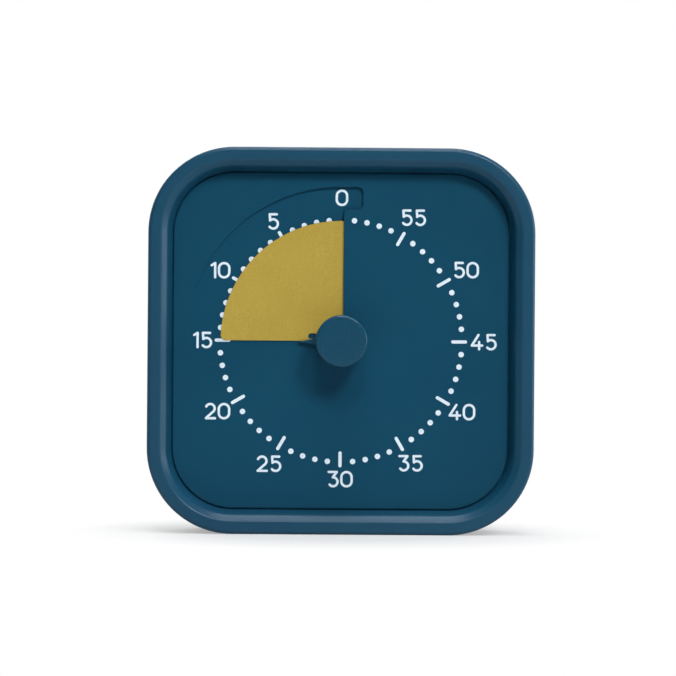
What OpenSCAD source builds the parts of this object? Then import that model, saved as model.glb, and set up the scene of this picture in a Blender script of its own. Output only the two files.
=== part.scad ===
// Visual countdown timer, 60 minutes: a deep square case with a recessed dial, and a
// coloured disk that comes up through a slit at 0 as the centre knob is turned.
// Millimetres. +Z is up, the front faces -Y, and Z = 0 is the flat base of the case.
// Most pieces are drawn in the dial's own frame, which stand() sets upright: x to the
// right, y up, z = 0 on the dial's face and z growing towards the viewer.

/* [Case] */
// Width and height of the square case
body_w = 140; // [132:1:180]
// Depth from the front rim to the back
body_d = 40; // [39.5:0.5:60]
// Radius of the case's outer corners
corner_r = 31; // [29:0.5:40]
// Wall of the case
wall = 2.5; // [1.8:0.1:3]
// Flat front rim, measured inwards
rim_w = 4.3; // [3.5:0.1:5]
// Rounding of the outer edges
edge_r = 1.5; // [0.5:0.1:1.8]
// How far the rim stands over the dial
rim_h = 8; // [6:0.5:14]
// Width of the bezel's upper slope
slope_1_w = 2.3; // [1.5:0.1:3]
// Width of the bezel's lower slope
slope_2_w = 2; // [1:0.1:3]
// Thickness of the rear cover
cover_t = 2.6; // [2:0.1:3]
// Height of the rear cover's inner lip
lip_h = 2; // [1:0.5:4]

/* [Dial] */
// Gap around the dial plate
dial_gap = 0.4; // [0.2:0.1:0.8]
// Thickness of the dial plate
dial_t = 2; // [1.6:0.1:2.4]
// Thickness of the dial's web over the hidden disk
web_t = 0.7; // [0.5:0.1:0.9]
// Radius of the sloping recess where the disk comes up
ramp_r = 56; // [54:0.5:57]
// Angle over which the recess rises to the dial's face
ramp_angle = 95; // [90:1:110]
// Thickness of the recess floor
ramp_t = 0.9; // [0.6:0.1:1.2]
// Hole in the middle of the dial
dial_hole_r = 7; // [6:0.5:8]
// How far the slit's edge stands right of the middle
slit_offset = 0.8; // [0.3:0.1:1.2]
// Length of the recess past the slit
pocket_w = 7.7; // [5:0.1:10]
// Lower edge of that recess over the middle
pocket_low = 47.8; // [46.8:0.1:50]
// Corner radius of that recess
pocket_r = 2; // [1:0.1:3]
// Rounding of the convex corner where that edge meets the slit
lip_r = 0.8; // [0.3:0.1:1.5]
// Width of the shallow field beside 15
field_w = 5.1; // [4:0.1:6]
// Height of the shallow field beside 15
field_h = 11.6; // [8:0.1:14]
// Depth of the shallow field
field_depth = 0.15; // [0.1:0.05:0.3]

/* [Printing] */
// Radius of the ring of dots
dot_ring_r = 44; // [43.5:0.1:45]
// Diameter of a dot
dot_d = 2; // [1:0.1:2.4]
// Length of a five-minute tick
tick_l = 5.8; // [3:0.1:7]
// Width of a tick
tick_w = 1.2; // [0.6:0.1:1.6]
// Radius of the middle of the ticks
tick_r = 43; // [42:0.1:44]
// Height of the numbers
number_h = 6.05; // [5:0.05:6.5]
// Stroke of the numbers
stroke = 0.87; // [0.6:0.01:1]
// Thickness of the ink
ink_t = 0.06; // [0.04:0.01:0.1]

/* [Disk] */
// Radius of the coloured disk
disk_r = 43.7; // [40:0.1:44]
// Thickness of the disk
disk_t = 0.3; // [0.2:0.05:0.4]
// Angle that the disk covers
disk_span = 358; // [340:1:359]
// Gap between the disk and the dial over and under it
disk_gap = 0.2; // [0.15:0.05:0.3]
// Minutes shown
minutes = 15; // [5:1:60]
// Rounding of the disk's leading corner
disk_corner_r = 2; // [1:0.1:4]
// Reach of the carrier's arm from the middle
arm_reach = 16; // [13:0.5:30]
// Height of the arm
arm_h = 1.8; // [1.5:0.1:2.5]
// Width of the arm at the knob
arm_root_w = 1.8; // [1.4:0.1:3]
// Width of the arm at its tip
arm_tip_w = 0.4; // [0.3:0.1:1.4]

/* [Knob] */
// Diameter of the knob
knob_d = 18.3; // [16:0.1:24]
// Height of the knob's face over the dial
knob_h = 16; // [14:0.5:24]
// Wall of the knob
knob_wall = 1.8; // [1.2:0.1:2.5]
// Rounding of the knob's edge
knob_edge_r = 0.6; // [0.3:0.1:1]
// Diameter of the arbor at the knob
arbor_d = 5; // [4:0.1:5.4]
// Width over the arbor's two flats
arbor_flats = 4; // [3:0.1:4.4]
// Diameter of the arbor inside the movement
arbor_thin_d = 2; // [1.6:0.1:2.2]

/* [Movement] */
// Thickness of the plate that carries the movement
plate_t = 1.8; // [1.4:0.1:2.4]
// Half the width of that plate
plate_half = 48; // [46:0.5:50]
// Room past the cell's two ends for its contacts and the walls
contact_room = 11.7; // [11.2:0.1:14]
// Height of the movement's case over the middle
move_up = 24; // [24:0.5:28]
// Depth of the movement
move_d = 19; // [19:0.1:20]
// Wall of the movement's case
move_wall = 1.2; // [1:0.1:1.4]
// Thickness of the circuit board
board_t = 1.2; // [0.8:0.1:1.2]
// Diameter of an AA cell
cell_d = 14.2; // [13.5:0.1:14.5]
// Length of an AA cell, with its nub
cell_l = 50.3; // [49.5:0.1:50.5]
// Diameter of the sounder
buzzer_d = 12; // [9:0.5:12]
// Height of the sounder
buzzer_h = 6; // [4:0.5:6]

/* [Wheels] */
// Gear module of the train
gear_module = 0.4; // [0.38:0.01:0.42]
// Thickness of a wheel
wheel_t = 0.8; // [0.5:0.1:1]
// Distance from one wheel's level to the next
level_step = 2.4; // [2.3:0.1:2.4]
// Diameter of the wheels' arbors
pivot_d = 1; // [0.8:0.1:1.1]
// Diameter of the rotor's magnet
magnet_d = 5.4; // [4:0.1:6]

/* [Battery door and switch] */
// Length of the battery door
door_w = 62; // [60:0.5:64]
// Height of the battery door
door_h = 21; // [20:0.5:24]
// Thickness of the battery door
door_t = 2; // [1.5:0.1:2.2]
// Travel of the battery door
door_travel = 7; // [5:0.5:9]
// Length of one rail of the door
rail_l = 9; // [6:0.5:12]
// Travel of the sound switch
switch_travel = 3; // [2:0.5:4]
// Width of the switch's button
switch_w = 3.2; // [2:0.1:4]

/* [Fasteners] */
// Diameter of the self-tapping screws
screw_d = 2.2; // [2:0.1:2.4]
// Diameter of their heads
head_d = 4; // [3.6:0.1:4.4]
// Height of their heads
head_h = 1.5; // [1:0.1:1.7]

/* [Fits] */
// Running fit of a shaft in its bore, on the radius
running_fit = 0.05; // [0.03:0.01:0.1]
// Gap around loose-fitting covers and doors
cover_fit = 0.3; // [0.2:0.05:0.5]

/* [Hidden] */
$fn = 96;
tiny = 0.01;
far = -50;

// Plan of the case: every corner arc shares its centre with the case's own corner
half = body_w / 2;
arc_c = half - corner_r;
r_rim = corner_r - rim_w;
r_mid = r_rim - slope_1_w;
r_foot = r_mid - slope_2_w;
r_dial = r_foot - dial_gap;
r_wall = corner_r - wall;
r_flange = r_wall - cover_fit;
foot_w = 2.2;
foot_drop = 1.1;
skin = 2.1;
z_fold = rim_h / 2;

// Levels in the dial's frame
z_rear = rim_h - body_d;
z_seam = z_rear + cover_t;
y_dial = (knob_h + z_rear) / 2;

// The disk is one turn of a screw surface, so each part of it passes the slit at the
// same depth, however far it has been turned out.
z_slit = -web_t - disk_gap - disk_t;
z_floor = z_slit - disk_gap;
slope = -z_floor / ramp_angle;
disk_pitch = 360 * slope;
rest_angle = 6 * minutes;
function disk_z(a) = z_slit + slope * a;
function floor_z(a) = min(z_floor + slope * a, -2 * tiny);
z_lead = disk_z(rest_angle);
hub_r = 4.2;
disk_in_r = hub_r + 0.4;
field_at = [-dot_ring_r - 1.7, -2.9];
hub_drop = 3.2;
knob_gap = 0.35;
disk_room = 0.4;
arm_foot_w = 1.3;
arm_flare = 2.1;
arm_top_t = 0.9;
arm_web_t = 0.5;
web_r = disk_r + 1.8;

// Movement levels, each behind the one before
z_plate = z_slit - disk_pitch - disk_room;
z_move = z_plate - plate_t;
z_train = z_move - move_wall;
z_back = z_move - move_d;
z_board = z_back + move_wall + board_t;
first_level = 1.1;
function level(n) = z_train - first_level - level_step * n;
knob_under = disk_z(360) + arm_h + knob_gap;

// The dial plate's flange lies behind the bezel's foot
flange_t = dial_t - 0.4;
z_flange = -foot_drop - flange_t;
floor_over = 1.2;

// Screws and posts
case_screw_l = 8;
dial_screw_l = 4.6;
screw_bite = 2.8;
plate_screw_l = plate_t + screw_bite;
board_screw_l = 7;
pilot_d = screw_d + 0.04;
screw_hole_d = screw_d + 2 * cover_fit;
boss_wall = 1.7;
dial_boss_wall = 0.9;
boss_r = pilot_d / 2 + boss_wall;
dial_boss_r = pilot_d / 2 + dial_boss_wall;
dial_screw_x = arc_c + r_wall - dial_boss_r;
dial_screw_y = 28;
post_at = plate_half - 5;
cover_boss_r = 3.6;
boss_bite = 0.6;
cover_boss_at = arc_c + (r_wall - cover_boss_r + boss_bite) / sqrt(2);
lip_t = 1.5;
move_w = cell_l + contact_room;
move_half = move_w / 2;
bay_h = cell_d + 0.8;
split_y = -19.4;
move_down = split_y - move_wall - bay_h - move_wall;
cell_y = split_y - move_wall - bay_h / 2;
cell_z = z_train - 0.2 - cell_d / 2;
cell_x = 1.2;
ear_x = move_half + 3;
ear_y = [14, -30];
ear_r = 3.2;
cover_post_x = move_half - 3.8;
cover_post_y = [move_up - 3.6, split_y + 7];

// Train: teeth, centres and places
leaves = 6;
centre_teeth = 48;
third_teeth = 45;
fourth_teeth = 36;
fifth_teeth = 30;
function between(teeth) = gear_module * (teeth + leaves) / 2;
function along(from, dist, a) = [from.x + dist * cos(a), from.y + dist * sin(a)];
third_dir = 150;
fourth_dir = 50;
fifth_dir = -10;
rotor_dir = -20;
third_at = along([0, 0], between(centre_teeth), third_dir);
fourth_at = along(third_at, between(third_teeth), fourth_dir);
fifth_at = along(fourth_at, between(fourth_teeth), fifth_dir);
rotor_at = along(fifth_at, between(fifth_teeth), rotor_dir);
arbors = [third_at, fourth_at, fifth_at, rotor_at];
stator_t = 0.9;
stator_z = level(4) - 0.6;
stator_r = 5.2;
stator_gap = 0.6;
leg_w = 3;
leg_x = cover_post_x - boss_r - rotor_at.x - leg_w / 2 - 0.13;
coil_up = 8.7;
coil_y = rotor_at.y + coil_up;
coil_z = stator_z - 1.5 * stator_t;
coil_r = 2.3;
coil_barrel_r = 1.6;
coil_flange_t = 0.8;
coil_end_gap = 0.5;
coil_l = 2 * leg_x - leg_w - 2 * coil_end_gap;
core_h = 2.2;
magnet_h = 3;
buzzer_at = [-20, 13];
sound_slots = 5;
sound_slot_w = 1.2;
sound_slot_h = 9;
sound_pitch = 3;
finger_room = 4;
chip_at = [-20, -6];
crystal_at = [-8, -13];
switch_at = [16, -9];
switch_body_size = [9, 4, 2.6];
cam_r = 3;
cam_z = z_board + 1.6;
cam_t = 1;

// Battery door: a pocket in the rear cover with its thumb room on the right
door_x = cell_x;
pocket_d = door_t + 0.3;
pocket_floor = 1.2;
rail_t = 0.7;
rail_out = 0.9;

module stand() {
    translate([0, y_dial, half]) rotate([90, 0, 0]) children();
}

module round_rect(w, h, r) {
    square([w - 2 * r, h], center = true);
    square([w, h - 2 * r], center = true);
    for (x = [-1, 1], y = [-1, 1])
        translate([x * (w / 2 - r), y * (h / 2 - r)]) circle(r);
}

// A plate of the case's plan, r being its corner radius
module case_plate(r, z, t) {
    translate([0, 0, z]) linear_extrude(t) round_rect(2 * (arc_c + r), 2 * (arc_c + r), r);
}

// Sweeps a section, x outwards from the corner's centre, around the case's plan
module around_case() {
    for (q = [0:3]) rotate(90 * q) translate([arc_c, arc_c, 0]) {
        rotate_extrude(angle = 90) children();
        rotate([90, 0, 0]) linear_extrude(2 * arc_c) children();
    }
}

// Places of the movement's ears
module at_ears() {
    for (sx = [-1, 1], y = ear_y) translate([sx * ear_x, y, 0]) children();
}

module at_four(x, y) {
    for (sx = [-1, 1], sy = [-1, 1]) translate([sx * x, sy * y, 0]) children();
}

// A cylinder between two levels
module rod(d, z0, z1) {
    translate([0, 0, min(z0, z1)]) cylinder(d = d, h = abs(z1 - z0));
}

// A pan-head screw whose head lies behind z, its shank going towards the viewer
module screw(z, length) {
    difference() {
        union() {
            rod(screw_d, z - tiny, z + length);
            rod(head_d, z, z - head_h);
        }
        for (a = [0, 90]) rotate(a) translate([0, 0, z - head_h])
            cube([0.62 * head_d, 0.6, 1.2 * head_h / 1.5], center = true);
    }
}

// A sheet of thickness t from r0 to r1, with its underside at height under[i] at each
// of the angles. Its upper and lower facets split the same way, so sheets can be stacked.
module helical_sheet(angles, under, t, r0, r1) {
    n = len(angles);
    points = [for (i = [0:n - 1], c = [[r0, 0], [r1, 0], [r1, t], [r0, t]])
        [-c[0] * sin(angles[i]), c[0] * cos(angles[i]), under[i] + c[1]]];
    sides = [for (i = [0:n - 2], j = [0:3]) let (k = (j + 1) % 4, a = 4 * i, b = a + 4)
        each j == 2 ? [[a + j, a + k, b + j], [a + k, b + k, b + j]]
            : [[a + j, a + k, b + k], [a + j, b + k, b + j]]];
    first = [[3, 2, 1], [3, 1, 0]];
    e = 4 * (n - 1);
    last = [[e, e + 1, e + 2], [e, e + 2, e + 3]];
    polyhedron(points, concat(sides, first, last));
}

function steps(a0, a1, n) = [for (i = [0:n]) a0 + (a1 - a0) * i / n];

// ---- case ----

module case_section() {
    translate([corner_r - edge_r, rim_h - edge_r]) circle(edge_r);
    polygon([
        [r_rim, rim_h], [corner_r - edge_r, rim_h], [corner_r, rim_h - edge_r],
        [corner_r, z_seam], [r_wall, z_seam], [r_wall, rim_h - skin],
        [r_rim + 0.4, rim_h - skin], [r_mid + skin - 0.3, z_fold - 0.4],
        [r_foot + foot_w, 0], [r_foot + foot_w, -foot_drop], [r_foot, -foot_drop],
        [r_foot, 0], [r_mid, z_fold]]);
}

module front_case() {
    color("#1c4960") stand() difference() {
        union() {
            around_case() case_section();
            at_four(dial_screw_x, dial_screw_y)
                rod(2 * dial_boss_r, -foot_drop, z_fold - 0.4);
            at_four(cover_boss_at, cover_boss_at)
                rod(2 * cover_boss_r, z_seam, z_flange - 1.4);
        }
        at_four(dial_screw_x, dial_screw_y) rod(pilot_d, -foot_drop - 1, z_fold - 1);
        at_four(cover_boss_at, cover_boss_at) rod(pilot_d, z_seam - 1, z_seam + case_screw_l + 1);
    }
}

module door_tray(extra, z0, z1) {
    translate([door_x + door_travel / 2, cell_y, z0]) linear_extrude(z1 - z0)
        round_rect(door_w + door_travel + 2 * extra, door_h + 2 * extra, 2 + extra);
}

module rail_box(extra, long) {
    for (sx = [-1, 1], sy = [-1, 1])
        translate([door_x + sx * (door_w / 2 - 6 - rail_l / 2),
                   cell_y + sy * (door_h / 2 + rail_out / 2 - 0.3),
                   z_rear + 0.3 + door_t / 2])
            cube([rail_l + long, rail_out + 0.6 + 2 * extra, rail_t + 2 * extra], center = true);
}

module rear_cover() {
    floor_z0 = z_rear + pocket_d;
    color("#1c4960") stand() difference() {
        union() {
            case_plate(corner_r - edge_r, z_rear, cover_t);
            around_case() {
                translate([corner_r - edge_r, z_rear + edge_r]) intersection() {
                    circle(edge_r);
                    translate([0, -edge_r]) square(edge_r);
                }
                translate([corner_r - edge_r - tiny, z_rear + edge_r])
                    square([edge_r + tiny, cover_t - edge_r]);
            }
            around_case() translate([r_wall - cover_fit - lip_t, z_seam - tiny])
                square([lip_t, lip_h + tiny]);
            door_tray(pocket_floor + cover_fit, z_rear + 1, floor_z0 + pocket_floor);
        }
        at_four(cover_boss_at, cover_boss_at) {
            rod(2 * cover_boss_r + 2 * cover_fit, z_seam, z_seam + lip_h + 1);
            rod(screw_hole_d, z_rear - 1, z_seam + 1);
            rod(head_d + 2 * cover_fit, z_rear - 1, z_rear + head_h + 0.1);
        }
        door_tray(cover_fit, z_rear - 1, floor_z0);
        rail_box(cover_fit / 2, 0.6);
        translate([door_travel / 2, 0, 0]) rail_box(cover_fit / 2, door_travel + 0.6);
        translate([door_travel + 0.5, 0, -2]) rail_box(cover_fit, 1);
        translate([door_travel + 0.5, 0, -1]) rail_box(cover_fit, 1);
        translate([cell_x, cell_y, z_rear]) linear_extrude(10)
            round_rect(cell_l + 4, cell_d + 0.6, 2);
        translate([switch_at.x + switch_travel / 2, switch_at.y, z_rear - 1]) linear_extrude(10)
            square([switch_w + switch_travel + 2 * cover_fit, 2 + 2 * cover_fit], center = true);
        translate([switch_at.x + switch_travel / 2, switch_at.y, z_rear - 1]) linear_extrude(2.2)
            round_rect(switch_w + switch_travel + finger_room, finger_room + 2, 1.5);
        for (i = [0:sound_slots - 1]) let (step = i - (sound_slots - 1) / 2)
            translate([buzzer_at.x + sound_pitch * step, buzzer_at.y, z_rear - 1])
                linear_extrude(10)
                    round_rect(sound_slot_w, sound_slot_h - 2 * abs(step), sound_slot_w / 2 - tiny);
    }
}

module case_screws() {
    color("silver") stand() at_four(cover_boss_at, cover_boss_at)
        screw(z_rear + head_h + 0.1, case_screw_l);
}

// ---- dial ----

// The open sector over the recess floor, its right side being the slit's edge
module recess_cut(r) {
    rotate(90) rotate_extrude(angle = ramp_angle)
        translate([dial_hole_r - 1, z_plate]) square([r - dial_hole_r + 1, 1 - z_plate]);
    translate([-1, dial_hole_r - 1, z_plate])
        cube([1 + slit_offset, pocket_low - dial_hole_r + 1, 1 - z_plate]);
}

module pocket_plan(extra) {
    translate([pocket_w / 2 - 3 + extra / 2, (pocket_low + ramp_r) / 2])
        round_rect(pocket_w + 6 + extra, ramp_r - pocket_low + 2 * extra, pocket_r + extra);
}

// What rounds off the corner between the recess's lower edge and the slit's edge
module lip_corner() {
    translate([slit_offset, pocket_low - lip_r]) difference() {
        translate([-tiny, 0]) square([lip_r + tiny, lip_r + tiny]);
        translate([lip_r, 0]) circle(lip_r);
    }
}

module left_of(x) {
    translate([x - half, 0]) square(half);
}

module dial_face() {
    angles = steps(0, ramp_angle + 3, 22);
    color("#19475d") stand() difference() {
        union() {
            difference() {
                union() {
                    case_plate(r_dial, -dial_t, dial_t);
                    case_plate(r_flange, z_flange, flange_t);
                    at_four(post_at, post_at) rod(2 * boss_r, z_plate, -1);
                    translate([0, 0, z_floor - ramp_t]) linear_extrude(-z_floor) difference() {
                        pocket_plan(1);
                        left_of(-0.5);
                    }
                }
                rod(2 * web_r, -web_t, z_plate + 1);
                recess_cut(ramp_r);
                translate([0, 0, z_floor]) linear_extrude(rim_h) {
                    lip_corner();
                    difference() {
                        pocket_plan(0);
                        left_of(-1);
                    }
                }
            }
            helical_sheet(angles, [for (a = angles) floor_z(a) - ramp_t], ramp_t,
                dial_hole_r, ramp_r + floor_over);
        }
        rod(2 * dial_hole_r, z_plate, 1);
        at_four(post_at, post_at) rod(pilot_d, z_plate - 1, -1.2);
        at_four(dial_screw_x, dial_screw_y) rod(screw_hole_d, z_plate, 1);
        translate([field_at.x, field_at.y, -field_depth]) linear_extrude(1)
            round_rect(field_w, field_h, 1);
    }
}

// A straight stroke with round ends
module bar(p, q, w = stroke) {
    d = q - p;
    translate(p) rotate(atan2(d.y, d.x)) {
        translate([0, -w / 2]) square([norm(d), w]);
        circle(w / 2, $fn = 24);
        translate([norm(d), 0]) circle(w / 2, $fn = 24);
    }
}

// A round stroke about c from angle a0 to a1, less than a full turn
module bow(c, r, a0, a1) {
    n = 3;
    fan = [for (i = [0:n]) let (a = a0 + (a1 - a0) * i / n) 3 * r * [cos(a), sin(a)]];
    translate(c) {
        intersection() {
            difference() {
                circle(r + stroke / 2, $fn = 48);
                circle(r - stroke / 2, $fn = 48);
            }
            polygon(concat([[0, 0]], fan));
        }
        for (a = [a0, a1]) rotate(a) translate([r, 0]) circle(stroke / 2, $fn = 24);
    }
}

// Digits 0 to 5 on a middle line of height number_h - stroke, the left edge at x = 0
digit_w = [3.75, 1.35, 3.4, 3.45, 3.85, 3.5];
digit_space = 1.38;
module digit(n) {
    h = number_h - stroke;
    w = digit_w[n];
    if (n == 0) {
        r = w / 2;
        for (x = [0, w]) bar([x, r], [x, h - r]);
        bow([r, h - r], r, 0, 180);
        bow([r, r], r, 180, 360);
    }
    if (n == 1) {
        bar([w, 0], [w, h]);
        bar([w, h], [0.1, h - 0.8]);
    }
    if (n == 2) {
        r = 1.6;
        c = [1.68, h - r];
        bow(c, r, -42, 155);
        bar(c + r * [cos(-42), sin(-42)], [0.1, 0]);
        bar([0.1, 0], [w, 0]);
    }
    if (n == 3) {
        r = 1.62;
        c = [w - r, r];
        bow(c, r, -142, 92);
        bar([0.2, h], [w - 0.3, h]);
        bar([w - 0.3, h], [c.x - 0.1, 2 * r]);
    }
    if (n == 4) {
        bar([2.5, h], [0.1, 1.35]);
        bar([0.1, 1.35], [w, 1.35]);
        bar([2.75, 0], [2.75, 2.6]);
    }
    if (n == 5) {
        r = 1.68;
        c = [w - r, r];
        bow(c, r, -142, 132);
        bar(c + r * [cos(132), sin(132)], [0.55, h]);
        bar([0.55, h], [w - 0.4, h]);
    }
}

module number(n) {
    tens = floor(n / 10);
    ones = n % 10;
    first = tens > 0 ? digit_w[tens] + digit_space : 0;
    translate([-(first + digit_w[ones]) / 2, -(number_h - stroke) / 2]) {
        if (tens > 0) digit(tens);
        translate([first, 0]) digit(ones);
    }
}

number_r = [52.1, 50, 50.8, 50.3, 51.6, 51.7, 50.2, 51.1, 51, 51.9, 52.3, 52];
module marks(from, to) {
    for (m = [from:to]) let (a = 6 * m) {
        if (m % 5 > 0) rotate(a) translate([0, dot_ring_r]) circle(dot_d / 2, $fn = 36);
        if (m % 5 == 0 && m > 0)
            rotate(a) bar([0, tick_r - tick_l / 2 + tick_w / 2],
                [0, tick_r + tick_l / 2 - tick_w / 2], tick_w);
        if (m % 5 == 0)
            translate(number_r[m / 5] * [-sin(a), cos(a)]) number(m);
    }
}

module dial_marks() {
    angles = concat([-5], steps(0, ramp_angle + 3, 22));
    color("#cfe6f2") stand() {
        intersection() {
            translate([0, 0, -3]) linear_extrude(4) marks(0, 15);
            helical_sheet(angles, [for (a = angles) max(floor_z(a), z_floor)], ink_t,
                dial_hole_r, ramp_r + floor_over);
        }
        linear_extrude(ink_t) marks(16, 59);
    }
}

module dial_screws() {
    color("silver") stand() at_four(dial_screw_x, dial_screw_y)
        screw(z_flange, dial_screw_l);
}

// ---- disk and knob ----

module time_disk() {
    angles = steps(rest_angle - disk_span, rest_angle, 90);
    color("#b0993f") stand() difference() {
        helical_sheet(angles, [for (a = angles) disk_z(a)], disk_t, disk_in_r, disk_r);
        rotate(rest_angle - 90) {
            translate([-disk_r - 1, -1, z_lead - 1]) linear_extrude(2) difference() {
                square([disk_corner_r + 1, disk_corner_r + 1]);
                translate([disk_corner_r + 1, disk_corner_r + 1]) circle(disk_corner_r);
            }
            translate([-10.3, 1.75, z_lead - 1]) linear_extrude(2) round_rect(3.2, 1.9, 0.94);
        }
    }
}

// The arm runs out to the left along y = 0 and tapers to its tip. Its foot is narrow,
// because the recess floor rises ahead of it, and its top spreads at the root.
module arm_plan(root_w) {
    root = knob_d / 2;
    polygon([[0, 0], [-arm_reach, 0], [-arm_reach, -arm_tip_w], [-root, -root_w], [0, -root_w]]);
}

// The thin web beside the arm passes over the dial's edge when the disk is put away
module arm_web_plan() {
    root = knob_d / 2;
    polygon([[0, arm_root_w + 0.4], [-root, arm_root_w - 0.2], [-root - arm_flare, 0.3],
        [-root - 2 * arm_flare, 0], [-root - 2 * arm_flare, -0.5], [0, -0.5]]);
}

// A sleeve with two flats that slides on the arbor and carries the disk by its arm
module disk_hub() {
    color("#1c4960") stand() rotate(rest_angle - 90) translate([0, 0, z_lead]) difference() {
        union() {
            rod(2 * hub_r, -hub_drop, arm_h);
            linear_extrude(arm_h) arm_plan(arm_foot_w);
            translate([0, 0, arm_h - arm_top_t]) linear_extrude(arm_top_t)
                arm_plan(arm_root_w);
            translate([0, 0, arm_h - arm_web_t]) linear_extrude(arm_web_t) arm_web_plan();
        }
        translate([0, 0, -hub_drop - 1]) linear_extrude(hub_drop + arm_h + 2)
            flats(running_fit);
    }
}

// The arbor's section: a circle with two flats
module flats(extra) {
    intersection() {
        circle(d = arbor_d + 2 * extra);
        square([2 * arbor_d, arbor_flats + 2 * extra], center = true);
    }
}

module knob() {
    r = knob_d / 2;
    color("#1f4f68") stand() difference() {
        rotate_extrude() {
            translate([0, knob_under]) square([r, knob_h - knob_under - knob_edge_r]);
            translate([0, knob_under]) square([r - knob_edge_r, knob_h - knob_under]);
            translate([r - knob_edge_r, knob_h - knob_edge_r]) circle(knob_edge_r, $fn = 32);
        }
        difference() {
            rod(2 * (r - knob_wall), knob_under - 1, knob_h - knob_wall);
            rod(2 * hub_r, knob_under - 2, knob_h);
        }
        translate([0, 0, knob_under - 1]) linear_extrude(knob_h - knob_wall - knob_under + 1)
            flats(0.02);
    }
}

module arbor() {
    color("#b8b8b0") stand() difference() {
        union() {
            translate([0, 0, z_plate]) linear_extrude(knob_h - knob_wall - 0.1 - z_plate) flats(0);
            rod(arbor_d, z_plate + 0.7, z_train - 0.1);
            rod(arbor_d + 1.6, z_train - 0.1, z_train - 0.8);
            rod(arbor_thin_d, z_train - 0.5, z_back - 0.2);
        }
        translate([0, 0, z_plate + 0.05]) difference() {
            rod(2 * arbor_d, 0, 0.5);
            rod(arbor_d - 0.9, -1, 2);
        }
    }
}

module retaining_clip() {
    color("#8f8f88") stand() translate([0, 0, z_plate + 0.1]) difference() {
        rod(arbor_d + 2, 0, 0.4);
        rod(arbor_d - 0.8, -1, 1);
        translate([0, -5, 0]) cube([arbor_d - 1.6, 10, 3], center = true);
    }
}

module clutch_spring() {
    color("#c9b36a") stand() difference() {
        rod(4.4, level(0) - wheel_t - 0.35, level(0) - wheel_t - 0.6);
        rod(arbor_thin_d + 2 * running_fit, 0, far);
    }
}

module clutch_collar() {
    color("#c9b36a") stand() difference() {
        rod(3.8, level(0) - wheel_t - 0.62, level(0) - wheel_t - 1.2);
        rod(arbor_thin_d, 0, far);
    }
}

module alarm_cam() {
    color("ivory") stand() difference() {
        rod(2 * cam_r, cam_z, cam_z + cam_t);
        rod(arbor_thin_d, 0, far);
        rotate(rest_angle) translate([0, cam_r, cam_z])
            cube([1.6, 1.6, 4], center = true);
    }
}

module alarm_leaves() {
    color("#c9a24a") stand() for (i = [0, 1])
        translate([-1.5, cam_r + 0.3 + 1.2 * i, z_board]) cube([3, 0.2, 3.2]);
}

module plate_screws() {
    color("silver") stand() at_four(post_at, post_at) screw(z_move, plate_screw_l);
}

module mid_plate() {
    color("#2b2d2f") stand() difference() {
        translate([0, 0, z_move]) linear_extrude(plate_t) difference() {
            round_rect(2 * plate_half, 2 * plate_half, 8);
            circle(hub_r + cover_fit);
        }
        at_four(post_at, post_at) rod(screw_hole_d, 0, far);
        at_ears() rod(pilot_d, 0, far);
    }
}

// ---- movement ----

// Places of the screws that hold the board and the movement's cover
module at_posts() {
    for (x = [-1, 1], y = cover_post_y) translate([x * cover_post_x, y, 0]) children();
}

module move_plan(extra) {
    translate([0, (move_up + move_down) / 2])
        round_rect(move_w + 2 * extra, move_up - move_down + 2 * extra, 3 + extra);
}

module contact_slots() {
    for (x = [-1, 1]) translate([x * (move_half - move_wall - 0.9), split_y - move_wall / 2, z_board])
        cube([1, 3 * move_wall, 4], center = true);
}

module movement_case() {
    color("#34373a") stand() difference() {
        union() {
            difference() {
                translate([0, 0, z_back]) linear_extrude(move_d) move_plan(0);
                translate([0, 0, z_back - 1]) linear_extrude(z_train - z_back + 1)
                    move_plan(-move_wall);
            }
            translate([-move_half + 0.5, split_y - move_wall, z_back + move_wall])
                cube([move_w - 1, move_wall, move_d - move_wall - 0.5]);
            rod(2 * hub_r, z_plate, z_train);
            at_posts() rod(2 * boss_r, z_board, z_train);
            at_ears() translate([0, 0, z_train]) cylinder(r = ear_r, h = move_wall);
            for (y = ear_y) translate([-ear_x, y - ear_r, z_train])
                cube([2 * ear_x, 2 * ear_r, move_wall]);
        }
        rod(arbor_d + 2 * running_fit, 0, z_train - 0.1);
        at_posts() rod(pilot_d, z_board - 1, z_board + board_screw_l);
        for (p = arbors) translate(p) rod(pivot_d + 2 * running_fit, z_train - 1, z_train + 0.8);
        at_ears() rod(screw_hole_d, 0, far);
        contact_slots();
    }
}

module movement_cover() {
    color("#34373a") stand() difference() {
        translate([0, 0, z_back]) linear_extrude(move_wall) intersection() {
            move_plan(-move_wall - 0.15);
            translate([-half, split_y + 0.15]) square(body_w);
        }
        rod(arbor_thin_d + 2 * running_fit, 0, far);
        for (p = arbors) translate(p) rod(pivot_d + 2 * running_fit, 0, far);
        at_posts() rod(screw_hole_d, 0, far);
        translate([switch_at.x, switch_at.y, z_back])
            cube([switch_body_size.x + 1, switch_body_size.y + 1, 5], center = true);
        translate([buzzer_at.x, buzzer_at.y, 0]) rod(6, 0, far);
    }
}

module movement_screws() {
    color("silver") stand() at_ears() screw(z_train, plate_t + move_wall - 0.1);
}

module cover_screws() {
    color("silver") stand() at_posts() screw(z_back, board_screw_l);
}

// Flat-topped teeth, thinned for clearance; tip and root are shares of the pitch
module gear_plan(teeth, addendum, tip, root) {
    r = gear_module * teeth / 2;
    ra = r + addendum * gear_module;
    rf = r - 1.3 * gear_module;
    unit = gear_module * 90;
    polygon([for (i = [0:teeth - 1], c = [[rf, -root], [ra, -tip], [ra, tip], [rf, root]])
        let (a = 360 * i / teeth + c[1] * unit / c[0]) c[0] * [cos(a), sin(a)]]);
}

module wheel_plan(teeth) {
    gear_plan(teeth, 1, 0.2, 0.5);
}

module pinion_plan() {
    gear_plan(leaves, 0.8, 0.2, 0.4);
}

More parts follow.
